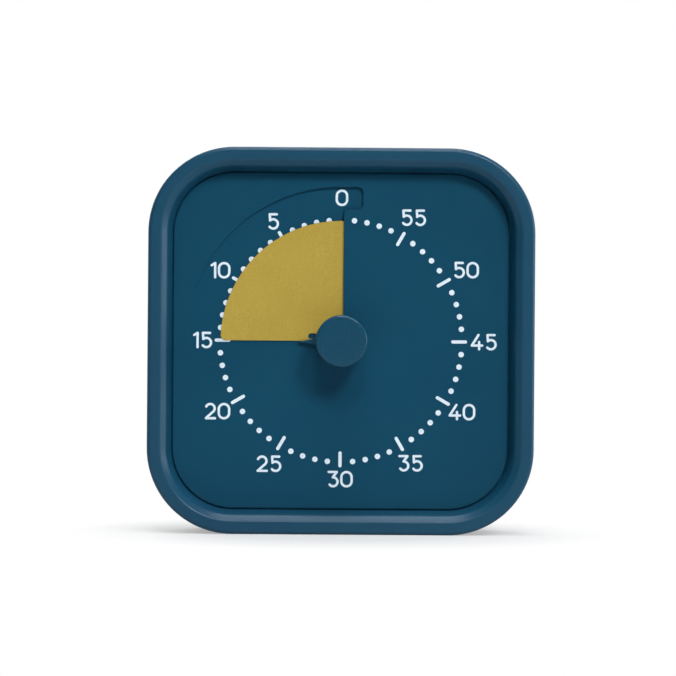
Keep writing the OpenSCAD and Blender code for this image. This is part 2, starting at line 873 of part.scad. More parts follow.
// A wheel at level n with a pinion one level nearer the dial, on one arbor. turn and
// pinion_turn set the teeth against those that they mesh with.
module wheel_set(at, teeth, n, turn, pinion_turn) {
    translate(at) {
        rod(pivot_d, z_train + 0.6, z_back + 0.1);
        translate([0, 0, level(n) - wheel_t]) rotate(turn) linear_extrude(wheel_t) difference() {
            wheel_plan(teeth);
            for (i = [0:4]) rotate(72 * i) translate([0.26 * gear_module * teeth, 0])
                circle(0.1 * gear_module * teeth, $fn = 24);
        }
        rod(2.2, level(n) - wheel_t - 0.3, level(n - 1) - wheel_t - 0.2);
        translate([0, 0, level(n - 1) - wheel_t - 0.3]) rotate(pinion_turn)
            linear_extrude(wheel_t + 0.5) pinion_plan();
    }
}

// A pinion's gap faces the wheel along dir when it is turned by this, for a wheel that
// has been turned by wheel_turn
function pinion_phase(dir, teeth, wheel_turn) =
    (dir + 180 + 180 / leaves + (dir - wheel_turn) * teeth / leaves) % 360;

third_pinion_turn = pinion_phase(third_dir, centre_teeth, 0);
fourth_pinion_turn = pinion_phase(fourth_dir, third_teeth, third_pinion_turn);
fifth_pinion_turn = pinion_phase(fifth_dir, fourth_teeth, fourth_pinion_turn);
rotor_pinion_turn = pinion_phase(rotor_dir, fifth_teeth, fifth_pinion_turn);

module centre_wheel() {
    pitch_d = gear_module * centre_teeth;
    color("#e8e2d0") stand() difference() {
        union() {
            translate([0, 0, level(0) - wheel_t]) linear_extrude(wheel_t) difference() {
                wheel_plan(centre_teeth);
                for (i = [0:4]) rotate(72 * i + 20) translate([0.292 * pitch_d, 0])
                    circle(0.1 * pitch_d, $fn = 24);
            }
            rod(0.24 * pitch_d, level(0) + 0.2, level(0) - wheel_t - 0.3);
        }
        rod(arbor_thin_d + 2 * running_fit, 0, far);
    }
}

module third_wheel() {
    color("#e8e2d0") stand()
        wheel_set(third_at, third_teeth, 1, third_pinion_turn, third_pinion_turn);
}

module fourth_wheel() {
    color("#e8e2d0") stand()
        wheel_set(fourth_at, fourth_teeth, 2, fourth_pinion_turn, fourth_pinion_turn);
}

module fifth_wheel() {
    color("#e8e2d0") stand()
        wheel_set(fifth_at, fifth_teeth, 3, fifth_pinion_turn, fifth_pinion_turn);
}

module rotor_pinion() {
    color("#d8d2c0") stand() translate(rotor_at) {
        rod(pivot_d, z_train + 0.6, z_back + 0.1);
        translate([0, 0, level(3) - wheel_t - 0.3]) rotate(rotor_pinion_turn)
            linear_extrude(wheel_t + 0.5) pinion_plan();
    }
}

module rotor_magnet() {
    middle = stator_z - stator_t / 2;
    color("#4a4a4e") stand() translate(rotor_at) difference() {
        rod(magnet_d, middle - magnet_h / 2, middle + magnet_h / 2);
        rod(pivot_d, 0, far);
    }
}

module stator() {
    color("#9a9aa0") stand() translate([rotor_at.x, rotor_at.y, stator_z - stator_t])
        linear_extrude(stator_t) difference() {
            union() {
                circle(stator_r);
                square([2 * leg_x, leg_w], center = true);
                for (x = [-1, 1]) translate([x * leg_x - leg_w / 2, -leg_w / 2])
                    square([leg_w, coil_up + leg_w]);
            }
            circle(magnet_d / 2 + stator_gap);
        }
}

module coil_core() {
    color("#9a9aa0") stand()
        translate([rotor_at.x, coil_y, coil_z])
            cube([2 * leg_x + leg_w, core_h, stator_t], center = true);
}

module coil_bobbin() {
    color("ivory") stand() translate([rotor_at.x, coil_y, coil_z]) rotate([0, 90, 0])
        difference() {
            union() {
                cylinder(r = coil_barrel_r, h = coil_l, center = true);
                for (x = [-1, 1]) translate([0, 0, x * (coil_l - coil_flange_t) / 2])
                    cylinder(r = coil_r, h = coil_flange_t, center = true);
            }
            cube([stator_t + 0.1, core_h + 0.1, 2 * coil_l], center = true);
        }
}

module coil_winding() {
    color("#a4532a") stand() translate([rotor_at.x, coil_y, coil_z]) rotate([0, 90, 0])
        difference() {
            cylinder(r = coil_r - 0.2, h = coil_l - 2 * coil_flange_t, center = true);
            cylinder(r = coil_barrel_r, h = coil_l, center = true);
        }
}

module circuit_board() {
    color("#1f6b45") stand() difference() {
        translate([0, 0, z_board - board_t]) linear_extrude(board_t) intersection() {
            move_plan(-move_wall - 0.3);
            translate([-half, split_y + 0.3]) square(body_w);
        }
        rod(arbor_thin_d + 2, 0, far);
        for (p = arbors) translate(p) rod(pivot_d + 1.6, 0, far);
        at_posts() rod(screw_hole_d, 0, far);
    }
}

module chip() {
    color("#1b1b1d") stand() translate([chip_at.x, chip_at.y, z_board]) cylinder(r = 3, h = 1);
}

module crystal() {
    color("silver") stand() translate([crystal_at.x, crystal_at.y, z_board + 1])
        rotate([0, 90, 0]) cylinder(r = 1, h = 6);
}

module buzzer() {
    color("#1b1b1d") stand() translate([buzzer_at.x, buzzer_at.y, z_board]) difference() {
        cylinder(d = buzzer_d, h = buzzer_h);
        translate([0, 0, buzzer_h - 1]) cylinder(d = 2, h = 2);
    }
}

module switch_body() {
    color("#b8b8b0") stand() translate([switch_at.x, switch_at.y,
            z_board - board_t - switch_body_size.z]) difference() {
        translate([-switch_body_size.x / 2, -switch_body_size.y / 2, 0]) cube(switch_body_size);
        translate([switch_travel / 2, 0, 0]) cube([switch_w + switch_travel + 0.6, 2.3, 3],
            center = true);
    }
}

module switch_slider() {
    top = z_board - board_t - switch_body_size.z + 1.2;
    color("#e9e9e4") stand() translate([switch_at.x, switch_at.y, z_rear + 0.2])
        difference() {
            translate([-switch_w / 2, -1, 0]) cube([switch_w, 2, top - z_rear - 0.2]);
            for (i = [-1:1]) translate([i * switch_w / 4, 0, 0])
                cube([0.3, 3, 0.5], center = true);
        }
}

module battery() {
    nub = 1.2;
    color("#c9a94e") stand() translate([cell_x, cell_y, cell_z]) rotate([0, 90, 0]) {
        translate([0, 0, -cell_l / 2]) cylinder(d = cell_d, h = cell_l - nub);
        translate([0, 0, cell_l / 2 - nub - tiny]) cylinder(d = 5.4, h = nub + tiny);
    }
}

// A bent strip: a plate against the cell and a tail that rises to the board
module contact_strip(side) {
    x = side * (move_half - move_wall - 0.9);
    translate([x - 0.15, cell_y - 4, cell_z - 4]) cube([0.3, 8, 8]);
    translate([x - 0.15, cell_y, z_board]) cube([0.3, split_y - cell_y + 3, 1.4]);
    translate([x - 0.15, cell_y, z_board]) cube([0.3, 4, cell_z - z_board]);
}

module positive_contact() {
    x = move_half - move_wall - 0.9;
    color("#c8c8cc") stand() {
        contact_strip(1);
        translate([cell_x + cell_l / 2, cell_y, cell_z]) rotate([0, 90, 0])
            cylinder(r = 1.6, h = x - cell_x - cell_l / 2);
    }
}

// A conical spring of square wire on its strip
module negative_spring() {
    x0 = -(move_half - move_wall - 0.9);
    gap = cell_x - cell_l / 2 - x0;
    turns = 3;
    n = 16 * turns;
    wire = 0.6;
    points = [for (i = [0:n], c = [[-1, -1], [1, -1], [1, 1], [-1, 1]]) let (
            a = 360 * i / 16,
            r = 5 - 2.6 * i / n + c[0] * wire / 2,
            x = (gap - wire) * i / n + wire / 2 + c[1] * wire / 2)
        [x, r * cos(a), r * sin(a)]];
    sides = [for (i = [0:n - 1], j = [0:3]) let (k = (j + 1) % 4)
        each [[4 * i + j, 4 * i + k, 4 * i + 4 + k], [4 * i + j, 4 * i + 4 + k, 4 * i + 4 + j]]];
    e = 4 * n;
    color("#c8c8cc") stand() {
        contact_strip(-1);
        translate([x0, cell_y, cell_z])
            polyhedron(points, concat(sides, [[0, 2, 1], [0, 3, 2]],
                [[e, e + 1, e + 2], [e, e + 2, e + 3]]));
    }
}

module battery_door() {
    color("#1c4960") stand() difference() {
        union() {
            translate([door_x, cell_y, z_rear + 0.2]) linear_extrude(door_t)
                round_rect(door_w, door_h, 2);
            translate([0, 0, -0.1]) rail_box(0, 0);
        }
        for (i = [0:3]) translate([door_x - door_w / 2 + 6 + 2 * i, cell_y, z_rear + 0.2])
            cube([0.8, 9, 1], center = true);
    }
}

front_case();
rear_cover();
case_screws();
dial_face();
dial_marks();
dial_screws();
mid_plate();
plate_screws();
time_disk();
disk_hub();
knob();
arbor();
retaining_clip();
clutch_spring();
clutch_collar();
alarm_cam();
alarm_leaves();
movement_case();
movement_cover();
movement_screws();
cover_screws();
centre_wheel();
third_wheel();
fourth_wheel();
fifth_wheel();
rotor_pinion();
rotor_magnet();
stator();
coil_core();
coil_bobbin();
coil_winding();
circuit_board();
chip();
crystal();
buzzer();
switch_body();
switch_slider();
battery();
positive_contact();
negative_spring();
battery_door();
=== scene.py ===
# %% [markdown]
# # Dressing a visual countdown timer
#
# The mechanical model of this timer is finished: its solids, joints and sizes come from
# the frame and stay as they are. In this lesson we give it its looks. The outside is
# modelled again with soft edges, because a moulded case never has a knife edge, and the
# pieces inside keep their solids and get better materials.

# %% Load the frame
import math
import bpy
from mathutils import Matrix, Vector


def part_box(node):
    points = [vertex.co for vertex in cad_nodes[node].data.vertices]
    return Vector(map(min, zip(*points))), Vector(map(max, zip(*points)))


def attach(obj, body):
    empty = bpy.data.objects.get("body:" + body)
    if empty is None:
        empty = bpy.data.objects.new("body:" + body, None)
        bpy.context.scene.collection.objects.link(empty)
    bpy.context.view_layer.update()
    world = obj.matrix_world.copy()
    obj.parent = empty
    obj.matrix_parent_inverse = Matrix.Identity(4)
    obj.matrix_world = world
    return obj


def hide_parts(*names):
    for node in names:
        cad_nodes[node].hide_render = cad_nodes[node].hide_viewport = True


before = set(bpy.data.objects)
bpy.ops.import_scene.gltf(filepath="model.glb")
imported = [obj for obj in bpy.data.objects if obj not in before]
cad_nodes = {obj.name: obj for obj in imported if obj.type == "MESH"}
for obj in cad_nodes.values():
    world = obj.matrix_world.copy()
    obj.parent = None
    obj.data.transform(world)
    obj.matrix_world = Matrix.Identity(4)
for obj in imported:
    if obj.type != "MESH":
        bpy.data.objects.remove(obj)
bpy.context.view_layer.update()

# %% [markdown]
# Everything on the front is measured from the middle of the dial: x to the right, y up and
# z towards the viewer, in millimetres. One function turns such a point into the frame's
# metres, so that every later number is a size that a ruler could check.

# %% The dial's own coordinates
MM = 0.001
case_low, case_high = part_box("front_case")
dial_low, dial_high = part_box("dial_face")
HALF = (case_high.x - case_low.x) / 2 / MM
MIDDLE_HEIGHT = (case_high.z + case_low.z) / 2


def place(x, y, z):
    """The point at x, y and z millimetres from the middle of the dial's face."""
    return Vector((x * MM, dial_low.y - z * MM, MIDDLE_HEIGHT + y * MM))


def depth_of(level):
    """The height over the dial, in millimetres, of a depth in the frame."""
    return (dial_low.y - level) / MM


print("half width", round(HALF, 2), "mm, rim", round(depth_of(case_low.y), 2), "mm over the dial")

# %% [markdown]
# ## Colours and nodes
#
# Colours are written as the hex codes that a paint program shows, and one function turns
# them into the linear light that a renderer adds up. A second one adds a shader node with
# its settings and links, which keeps each material short enough to read.

# %% Helpers for materials
def colour(code):
    """An sRGB hex code in linear light."""
    shares = [int(code[i:i + 2], 16) / 255 for i in (1, 3, 5)]
    return [s / 12.92 if s <= 0.04045 else ((s + 0.055) / 1.055) ** 2.4 for s in shares] + [1]


def add(tree, kind, settings=None, links=None):
    """Adds a node. Settings and links name its inputs, or an attribute in small letters."""
    node = tree.nodes.new(kind)
    for name, value in (settings or {}).items():
        if name[0].isupper():
            node.inputs[name].default_value = value
        else:
            setattr(node, name, value)
    for name, socket in (links or {}).items():
        tree.links.new(socket, node.inputs[name])
    return node


def new_material(name):
    """An empty material, its tree, its output and the piece's own coordinates."""
    material = bpy.data.materials.new(name)
    material.use_nodes = True
    tree = material.node_tree
    tree.nodes.clear()
    output = add(tree, "ShaderNodeOutputMaterial")
    coordinates = add(tree, "ShaderNodeTexCoord").outputs["Object"]
    return material, tree, output, coordinates


def surface(tree, output, settings, links):
    """Joins a plastic or metal shader to the material's output."""
    shader = add(tree, "ShaderNodeBsdfPrincipled", settings, links)
    tree.links.new(shader.outputs[0], output.inputs["Surface"])


def per_mm(size):
    """The texture scale at which one feature is about this many millimetres wide."""
    return 1 / (size * MM)


def noise(tree, coordinates, size, detail=2.0, roughness=0.5):
    """A noise whose lumps are about size millimetres wide."""
    return add(tree, "ShaderNodeTexNoise",
               {"Scale": per_mm(size), "Detail": detail, "Roughness": roughness},
               {"Vector": coordinates}).outputs["Fac"]


def maths(tree, operation, first, second):
    """The result of one operation on two sockets."""
    return add(tree, "ShaderNodeMath", {"operation": operation}, {0: first, 1: second}).outputs[0]


def between(tree, factor, low, high, start, end):
    """Maps a factor from start..end to low..high, and stops at both."""
    return add(tree, "ShaderNodeMapRange",
               {"From Min": start, "From Max": end, "To Min": low, "To Max": high},
               {"Value": factor}).outputs["Result"]


def mixed(tree, factor, first, second):
    """A colour between two colours, each a hex code or a socket."""
    node = add(tree, "ShaderNodeMix", {"data_type": "RGBA"}, {0: factor})
    for slot_number, value in ((6, first), (7, second)):
        if isinstance(value, str):
            node.inputs[slot_number].default_value = colour(value)
        else:
            tree.links.new(value, node.inputs[slot_number])
    return node.outputs[2]


def bumped(tree, height, depth, strength):
    """A normal for a relief that is depth millimetres high."""
    return add(tree, "ShaderNodeBump", {"Strength": strength, "Distance": depth * MM},
               {"Height": height}).outputs["Normal"]


print("white in linear light:", colour("#ffffff")[:3])

# %% [markdown]
# ## Moulded ABS
#
# The case, dial and knob are injection-moulded ABS. The mould is spark-eroded, which
# leaves an even grain, so the surface is matte with soft, wide highlights. The real
# grain is about a tenth of a millimetre, too fine for the picture, and is drawn coarser.
# Flow in the mould makes the colour drift very slightly over some centimetres, and a few
# pale specks are dust in the grain. The grain shades itself, so little of the gloss of
# smooth plastic is left, which a low specular level stands for: least on the dial, and
# more on the case and knob, whose surface is a little smoother.

# %% Moulded ABS
GRAIN_MM = 0.45
FLOW_MM = 35
SPECK_MM = 1.6


def moulded_abs(name, deep, pale, rough, gloss, speck="#6f8c9b"):
    """Spark-eroded ABS: an even grain, a slow drift of colour and rare dust specks."""
    material, tree, output, coordinates = new_material(name)
    drift = noise(tree, coordinates, FLOW_MM, detail=3)
    grain = noise(tree, coordinates, GRAIN_MM, detail=1)
    base = mixed(tree, between(tree, drift, 0, 1, 0.3, 0.7), deep, pale)
    base = mixed(tree, between(tree, grain, 0, 0.16, 0.35, 0.75), base, pale)
    dust = noise(tree, coordinates, SPECK_MM, detail=2, roughness=0.7)
    base = mixed(tree, between(tree, dust, 0, 0.8, 0.795, 0.83), base, speck)
    roughness = between(tree, grain, rough - 0.05, rough + 0.07, 0.3, 0.7)
    normal = bumped(tree, grain, 0.03, 0.55)
    surface(tree, output, {"IOR": 1.54, "Specular IOR Level": gloss},
            {"Base Color": base, "Roughness": roughness, "Normal": normal})
    return material


case_abs = moulded_abs("case_spark_eroded_ABS", "#10415a", "#14465e", 0.33, 0.23)
dial_abs = moulded_abs("dial_spark_eroded_ABS", "#0a435c", "#0d465e", 0.36, 0.1)
knob_abs = moulded_abs("knob_satin_ABS", "#0e4159", "#12455c", 0.22, 0.25)
inner_abs = moulded_abs("movement_black_ABS", "#232527", "#282b2d", 0.45, 0.3, speck="#55585a")
print([m.name for m in (case_abs, dial_abs, knob_abs, inner_abs)])

# %% [markdown]
# ## Printing ink
#
# The dots, ticks and numbers are pad-printed: a silicone pad presses white ink onto the
# plate. The film is some hundredths of a millimetre thick, a touch uneven in cover, and
# glossier than the grain around it.

# %% Printing ink
def printed_ink(name, thick, thin):
    """Pad-printed ink, with its cover varying over a millimetre or so."""
    material, tree, output, coordinates = new_material(name)
    cover = noise(tree, coordinates, 0.9, detail=3)
    base = mixed(tree, between(tree, cover, 0, 1, 0.3, 0.62), thin, thick)
    normal = bumped(tree, noise(tree, coordinates, 0.35), 0.01, 0.4)
    surface(tree, output, {"IOR": 1.48, "Roughness": 0.4}, {"Base Color": base, "Normal": normal})
    return material


dial_ink = printed_ink("pad_printed_white_ink", "#e2eef6", "#cfe2ee")
print(dial_ink.name)

# %% [markdown]
# ## The coloured film of the disk
#
# The disk is cut from thin plastic film with a matte lacquer. Rolling leaves faint
# streaks in one direction, and the lacquer has a fine, sandy grain.

# %% Matte lacquered film
def lacquered_film(name, deep, pale, worn):
    """Matte film: sandy grain, faint rolling streaks and slight wear."""
    material, tree, output, coordinates = new_material(name)
    grain = noise(tree, coordinates, 0.5, detail=2, roughness=0.6)
    rolled = add(tree, "ShaderNodeMapping", {"Scale": (1.0, 1.0, 0.08)}, {"Vector": coordinates})
    streak = noise(tree, rolled.outputs["Vector"], 1.1, detail=2)
    cloud = noise(tree, coordinates, 14, detail=2)
    base = mixed(tree, between(tree, grain, 0, 1, 0.3, 0.7), deep, pale)
    base = mixed(tree, between(tree, streak, 0, 0.12, 0.5, 0.7), base, worn)
    base = mixed(tree, between(tree, cloud, 0, 0.3, 0.45, 0.7), base, deep)
    normal = bumped(tree, grain, 0.02, 0.4)
    surface(tree, output, {"IOR": 1.46, "Roughness": 0.58, "Specular IOR Level": 0.2},
            {"Base Color": base, "Normal": normal})
    return material


disk_film = lacquered_film("mustard_lacquered_film", "#a98f3a", "#b79f44", "#bba64e")
print(disk_film.name)

# %% [markdown]
# ## Metals
#
# Screws are zinc-plated steel, springs and leaves are rolled brass, contacts are
# nickel-plated and the coil's core is annealed steel. Each has its own colour and
# gloss, and the same kind of surface: fine lines left by rolling or turning. A metal's
# colour is its reflection, so it needs no IOR of its own.

# %% Metals
TARNISH_MM = 4


def worked_metal(name, bright, dull, rough, line_mm):
    """A metal with lines from rolling or turning and a faint tarnish in patches."""
    material, tree, output, coordinates = new_material(name)
    stretched = add(tree, "ShaderNodeMapping", {"Scale": (1, 0.06, 1)}, {"Vector": coordinates})
    lines = noise(tree, stretched.outputs["Vector"], line_mm, detail=2)
    tarnish = noise(tree, coordinates, TARNISH_MM, detail=4)
    base = mixed(tree, between(tree, tarnish, 0, 1, 0.35, 0.7), bright, dull)
    roughness = between(tree, lines, rough - 0.07, rough + 0.1, 0.3, 0.7)
    normal = bumped(tree, lines, 0.01, 0.35)
    surface(tree, output, {"Metallic": 1.0},
            {"Base Color": base, "Roughness": roughness, "Normal": normal})
    return material


zinc = worked_metal("zinc_plated_steel", "#c9cbd0", "#a9adb4", 0.32, 0.25)
turned_steel = worked_metal("turned_silver_steel", "#cfcfcc", "#b4b4b0", 0.28, 0.15)
brass = worked_metal("rolled_spring_brass", "#d9b566", "#b8924a", 0.3, 0.2)
nickel = worked_metal("nickel_plated_strip", "#d6d5d0", "#bcbab2", 0.2, 0.3)
core_steel = worked_metal("annealed_core_steel", "#9b9ca2", "#77787f", 0.45, 0.35)
ferrite = worked_metal("sintered_magnet", "#4b4c50", "#3b3c40", 0.55, 0.3)
print("six metals, from", zinc.name, "to", ferrite.name)

# %% [markdown]
# ## The other plastics and the electrics
#
# The wheels are turned and hobbed from acetal, a waxy, slightly translucent white
# plastic. The bobbin is natural nylon. The board is green glass-epoxy laminate, whose
# weave shows through the varnish. The winding is enamelled copper, laid side by side,
# with painted shade between its turns and a painted highlight along each turn's crown.

# %% The other plastics and the electrics
LIGHT_DEPTH_MM = 0.4


def waxy_plastic(name, deep, pale, rough, through):
    """Acetal or nylon: light goes a little way in, so edges look soft."""
    material, tree, output, coordinates = new_material(name)
    cloud = noise(tree, coordinates, 2.5, detail=3)
    base = mixed(tree, between(tree, cloud, 0, 1, 0.3, 0.7), deep, pale)
    normal = bumped(tree, noise(tree, coordinates, 0.12), 0.006, 0.4)
    surface(tree, output, {"IOR": 1.48, "Roughness": rough, "Subsurface Weight": through,
                           "Subsurface Scale": LIGHT_DEPTH_MM * MM},
            {"Base Color": base, "Normal": normal})
    return material


def striped(name, first, second, pitch_mm, rough, metallic=0.0, relief=0.03):
    """Rows along one axis: wound wire, or the weave of a laminate. On the laminate both colours are
    the weave's own; on wire the darker colour is painted shade between the turns and the lighter
    one a painted highlight on each turn.
    """
    material, tree, output, coordinates = new_material(name)
    rows = add(tree, "ShaderNodeTexWave",
               {"Scale": math.pi / (10 * pitch_mm * MM), "Distortion": 0.4, "Detail": 1.0},
               {"Vector": coordinates}).outputs["Fac"]
    base = mixed(tree, rows, first, second)
    normal = bumped(tree, rows, relief, 0.6)
    surface(tree, output, {"Roughness": rough, "Metallic": metallic},
            {"Base Color": base, "Normal": normal})
    return material


acetal = waxy_plastic("hobbed_acetal", "#dcd6c3", "#e9e4d5", 0.38, 0.2)
nylon = waxy_plastic("natural_nylon", "#d9d1b6", "#e4dec8", 0.42, 0.3)
slider_plastic = waxy_plastic("white_acetal_slider", "#d9dad6", "#e6e7e3", 0.35, 0.1)
laminate = striped("glass_epoxy_laminate", "#1a5c3a", "#237047", 0.5, 0.3, relief=0.01)
# The winding's darker rows are painted shade between the turns, and its lighter rows a painted
# highlight on their crowns.
enamelled_copper = striped("enamelled_copper_wire", "#8f3f1b", "#c56a38", 0.2, 0.3, metallic=0.85)
chip_epoxy = moulded_abs("chip_epoxy", "#151517", "#1d1d20", 0.5, 0.4, speck="#2c2c30")
cell_sleeve = lacquered_film("cell_shrink_sleeve", "#a88a35", "#b99b45", "#c7ab5a")
print(len(bpy.data.materials), "materials so far")

# %% [markdown]
# ## Modelling by hand, in code
#
# Modelling with operators is what a person does with the mouse: add a primitive, select
# something in edit mode, extrude it. An operator acts on whatever is selected, so each
# step first selects what it means. `pick` does that by place, in the dial's millimetres.

# %% Helpers for modelling
NEAR = 0.01
CLEAR = 0.6
FACING_FRONT = (math.pi / 2, 0, 0)


def spot(point):
    """A point of the frame in the dial's own millimetres."""
    return point.x / MM, (point.z - MIDDLE_HEIGHT) / MM, depth_of(point.y)


def deselect():
    """Leaves edit mode with nothing selected. Loading the frame leaves its solids selected."""
    if bpy.context.object is not None and bpy.context.object.mode != "OBJECT":
        bpy.ops.object.mode_set(mode="OBJECT")
    bpy.ops.object.select_all(action="DESELECT")


def activate(piece, *others):
    """Selects a piece and makes it active, and selects others with it."""
    deselect()
    bpy.context.view_layer.objects.active = piece
    for chosen in (piece, *others):
        chosen.select_set(True)


def select_mesh():
    """Selects all of the open mesh."""
    bpy.ops.mesh.select_all(action="SELECT")


def begin(name):
    """Names the new primitive, moves its place into its mesh and opens it, all selected."""
    piece = bpy.context.object
    piece.name = piece.data.name = name
    bpy.ops.object.transform_apply(location=True, rotation=True, scale=True)
    bpy.ops.object.mode_set(mode="EDIT")
    bpy.ops.mesh.select_mode(type="VERT")
    select_mesh()
    return piece


def open_up(piece):
    """Opens a finished piece again, all selected."""
    activate(piece)
    bpy.ops.object.mode_set(mode="EDIT")
    select_mesh()


def pick(piece, kind, test):
    """Selects the vertices that pass a test on x, y and z, or the edges between them."""
    bpy.ops.mesh.select_mode(type=kind)
    bpy.ops.mesh.select_all(action="DESELECT")
    bpy.ops.object.mode_set(mode="OBJECT")
    mesh = piece.data
    passed = [test(*spot(v.co)) for v in mesh.vertices]
    for vertex, good in zip(mesh.vertices, passed):
        vertex.select = good and kind == "VERT"
    for edge in mesh.edges:
        edge.select = kind == "EDGE" and all(passed[i] for i in edge.vertices)
    bpy.ops.object.mode_set(mode="EDIT")


def extrude(z):
    """Extrudes what is selected z millimetres towards the viewer."""
    bpy.ops.mesh.extrude_region_move(TRANSFORM_OT_translate={"value": (0, -z * MM, 0)})


def round_edges(piece, width, segments, test):
    """Rounds the edges whose ends pass a test."""
    pick(piece, "EDGE", test)
    bpy.ops.mesh.bevel(offset=width * MM, segments=segments, affect="EDGES")


def weld():
    """Merges the vertices of the open piece that lie in one place."""
    select_mesh()
    bpy.ops.mesh.remove_doubles(threshold=0.001 * MM)


def closed(piece):
    """Turns all faces of a finished solid outwards."""
    select_mesh()
    bpy.ops.mesh.normals_make_consistent(inside=False)
    return piece


def face_towards(piece, side):
    """Turns the one face of a new outline to the viewer, 1, or away, -1."""
    bpy.ops.object.mode_set(mode="OBJECT")
    wrong = -piece.data.polygons[0].normal.y * side < 0
    bpy.ops.object.mode_set(mode="EDIT")
    bpy.ops.mesh.select_mode(type="FACE")
    select_mesh()
    if wrong:
        bpy.ops.mesh.flip_normals()


def modify(piece, kind, **settings):
    """Adds a modifier with its settings and applies it."""
    activate(piece)
    modifier = piece.modifiers.new(kind, kind)
    for name, value in settings.items():
        setattr(modifier, name, value)
    bpy.ops.object.modifier_apply(modifier=modifier.name)


def combine(piece, others, operation):
    """Cuts other solids away from a piece, or joins them on, and uses them up. They are
    put together first, as one boolean costs less time than several."""
    activate(*others)
    if len(others) > 1:
        bpy.ops.object.join()
    modify(piece, "BOOLEAN", object=others[0], operation=operation, solver="EXACT", use_self=True)
    bpy.data.objects.remove(others[0])


def cut(piece, *cutters):
    """Cuts solids away from a piece."""
    combine(piece, cutters, "DIFFERENCE")


def fuse(piece, *others):
    """Joins solids onto a piece."""
    combine(piece, others, "UNION")


print("helpers ready")

# %% [markdown]
# An outline is drawn the way it is drawn by hand: one vertex is extruded from corner to
# corner, the loop is filled, and a vertex bevel rounds the corners. A turned piece starts
# as the same kind of line, its section, which is then spun about its axis.

# %% Outlines and turned pieces
def chain(name, points):
    """Extrudes one vertex from point to point and leaves the line open for editing."""
    deselect()
    bpy.ops.mesh.primitive_plane_add(size=MM, location=points[0])
    piece = begin(name)
    bpy.ops.mesh.merge(type="CENTER")
    for before, after in zip(points, points[1:]):
        bpy.ops.mesh.extrude_region_move(TRANSFORM_OT_translate={"value": after - before})
    return piece


def outline(name, corners, radii, z, side=1, segments=10):
    """A flat face at level z with rounded corners, facing the viewer, 1, or away, -1."""
    points = [place(x, y, z) for x, y in corners]
    piece = chain(name, points + points[:1])
    weld()
    bpy.ops.mesh.edge_face_add()
    for radius in sorted(set(radii) - {0}):
        chosen = [corner for corner, r in zip(corners, radii) if r == radius]
        pick(piece, "VERT", lambda x, y, z: min(math.dist((x, y), c) for c in chosen) < NEAR)
        bpy.ops.mesh.bevel(offset=radius * MM, segments=segments, affect="VERTICES")
    face_towards(piece, side)
    return piece


def rectangle(name, w, h, r, z, at=(0, 0), side=1, segments=10):
    """A rectangular face with round corners, w wide and h high, about the point at."""
    corners = [(at[0] + i * w / 2, at[1] + j * h / 2)
               for i, j in ((1, 1), (-1, 1), (-1, -1), (1, -1))]
    return outline(name, corners, [r] * 4, z, side, segments)


def disc(name, r, z, at=(0, 0), side=1, sides=96):
    """A round face at level z."""
    deselect()
    bpy.ops.mesh.primitive_circle_add(vertices=sides, radius=r * MM, fill_type="NGON",
                                      location=place(at[0], at[1], z), rotation=FACING_FRONT)
    piece = begin(name)
    face_towards(piece, side)
    return piece


def thicken(piece, depth):
    """Extrudes a face along the dial's axis, and closes the solid with faces outwards."""
    extrude(depth)
    return closed(piece)


def quarter_round(ease, segments, hollow):
    """Insets the selected face in steps along a quarter of a circle, bulging or hollow."""
    for step in range(segments):
        a, b = (math.radians(90 * k / segments) for k in (step, step + 1))
        inwards, onwards = math.cos(a) - math.cos(b), math.sin(b) - math.sin(a)
        if hollow:
            inwards, onwards = onwards, inwards
        bpy.ops.mesh.inset(thickness=ease * MM * inwards, depth=ease * MM * onwards)


def slab(name, w, h, r, z, thickness, at=(0, 0), segments=10):
    """A rectangular plate with round corners, from level z towards the viewer."""
    return thicken(rectangle(name, w, h, r, z, at, segments=segments), thickness)


def cutter(piece, depth, ease=0.0, segments=3):
    """Makes a face that was drawn ease larger, CLEAR of the surface that it opens, into a
    cutter that goes depth into it. Its mouth is a quarter round, so the edge comes soft.
    A depth below 0 cuts backwards from the front, and above 0 forwards from the rear."""
    way = math.copysign(1, depth)
    extrude(way * CLEAR)
    quarter_round(ease, segments if ease else 0, hollow=True)
    extrude(depth - way * ease)
    return closed(piece)


def eased(piece, height, ease):
    """Thickens a face towards the viewer into a solid whose front edge is a quarter round."""
    extrude(height - ease)
    quarter_round(ease, 3, hollow=False)
    return closed(piece)


def turned(name, section, sides):
    """Spins a section, given as radius and level, about the dial's axis."""
    piece = chain(name, [place(r, 0, z) for r, z in section])
    select_mesh()
    bpy.ops.mesh.spin(steps=sides, angle=2 * math.pi, center=place(0, 0, 0), axis=(0, 1, 0))
    weld()
    return closed(piece)


def arc(r, centre_r, centre_z, start, end, segments=6):
    """Points of a round corner in a section, angles in degrees from outwards to the front."""
    angles = [math.radians(start + (end - start) * i / segments) for i in range(segments + 1)]
    return [(centre_r + r * math.cos(a), centre_z + r * math.sin(a)) for a in angles]


def rod(name, r, z0, z1, at=(0, 0), sides=48):
    """A plain cylinder between two levels, used as a boss or a drill."""
    return thicken(disc(name, r, z0, at, side=1 if z1 > z0 else -1, sides=sides), z1 - z0)


def rods(name, r, z0, z1, places):
    """One such cylinder at each of several places."""
    return [rod(name, r, z0, z1, at) for at in places]


SMOOTH_BELOW = math.radians(32)
pieces_made = {}


def finish_piece(piece, body, slot, material, *replaced):
    """Shades a piece, gives it its material and says what it rides on and stands for."""
    activate(piece)
    bpy.ops.object.shade_smooth_by_angle(angle=SMOOTH_BELOW)
    modify(piece, "WEIGHTED_NORMAL", keep_sharp=True)
    piece.data.materials.clear()
    piece.data.materials.append(material)
    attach(piece, body)
    if replaced:
        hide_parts(*replaced)
    pieces_made[piece.name] = len(piece.data.polygons)
    print(piece.name, "rides on", body, "with", len(piece.data.polygons), "faces")


print("outlines, discs and turned pieces ready")

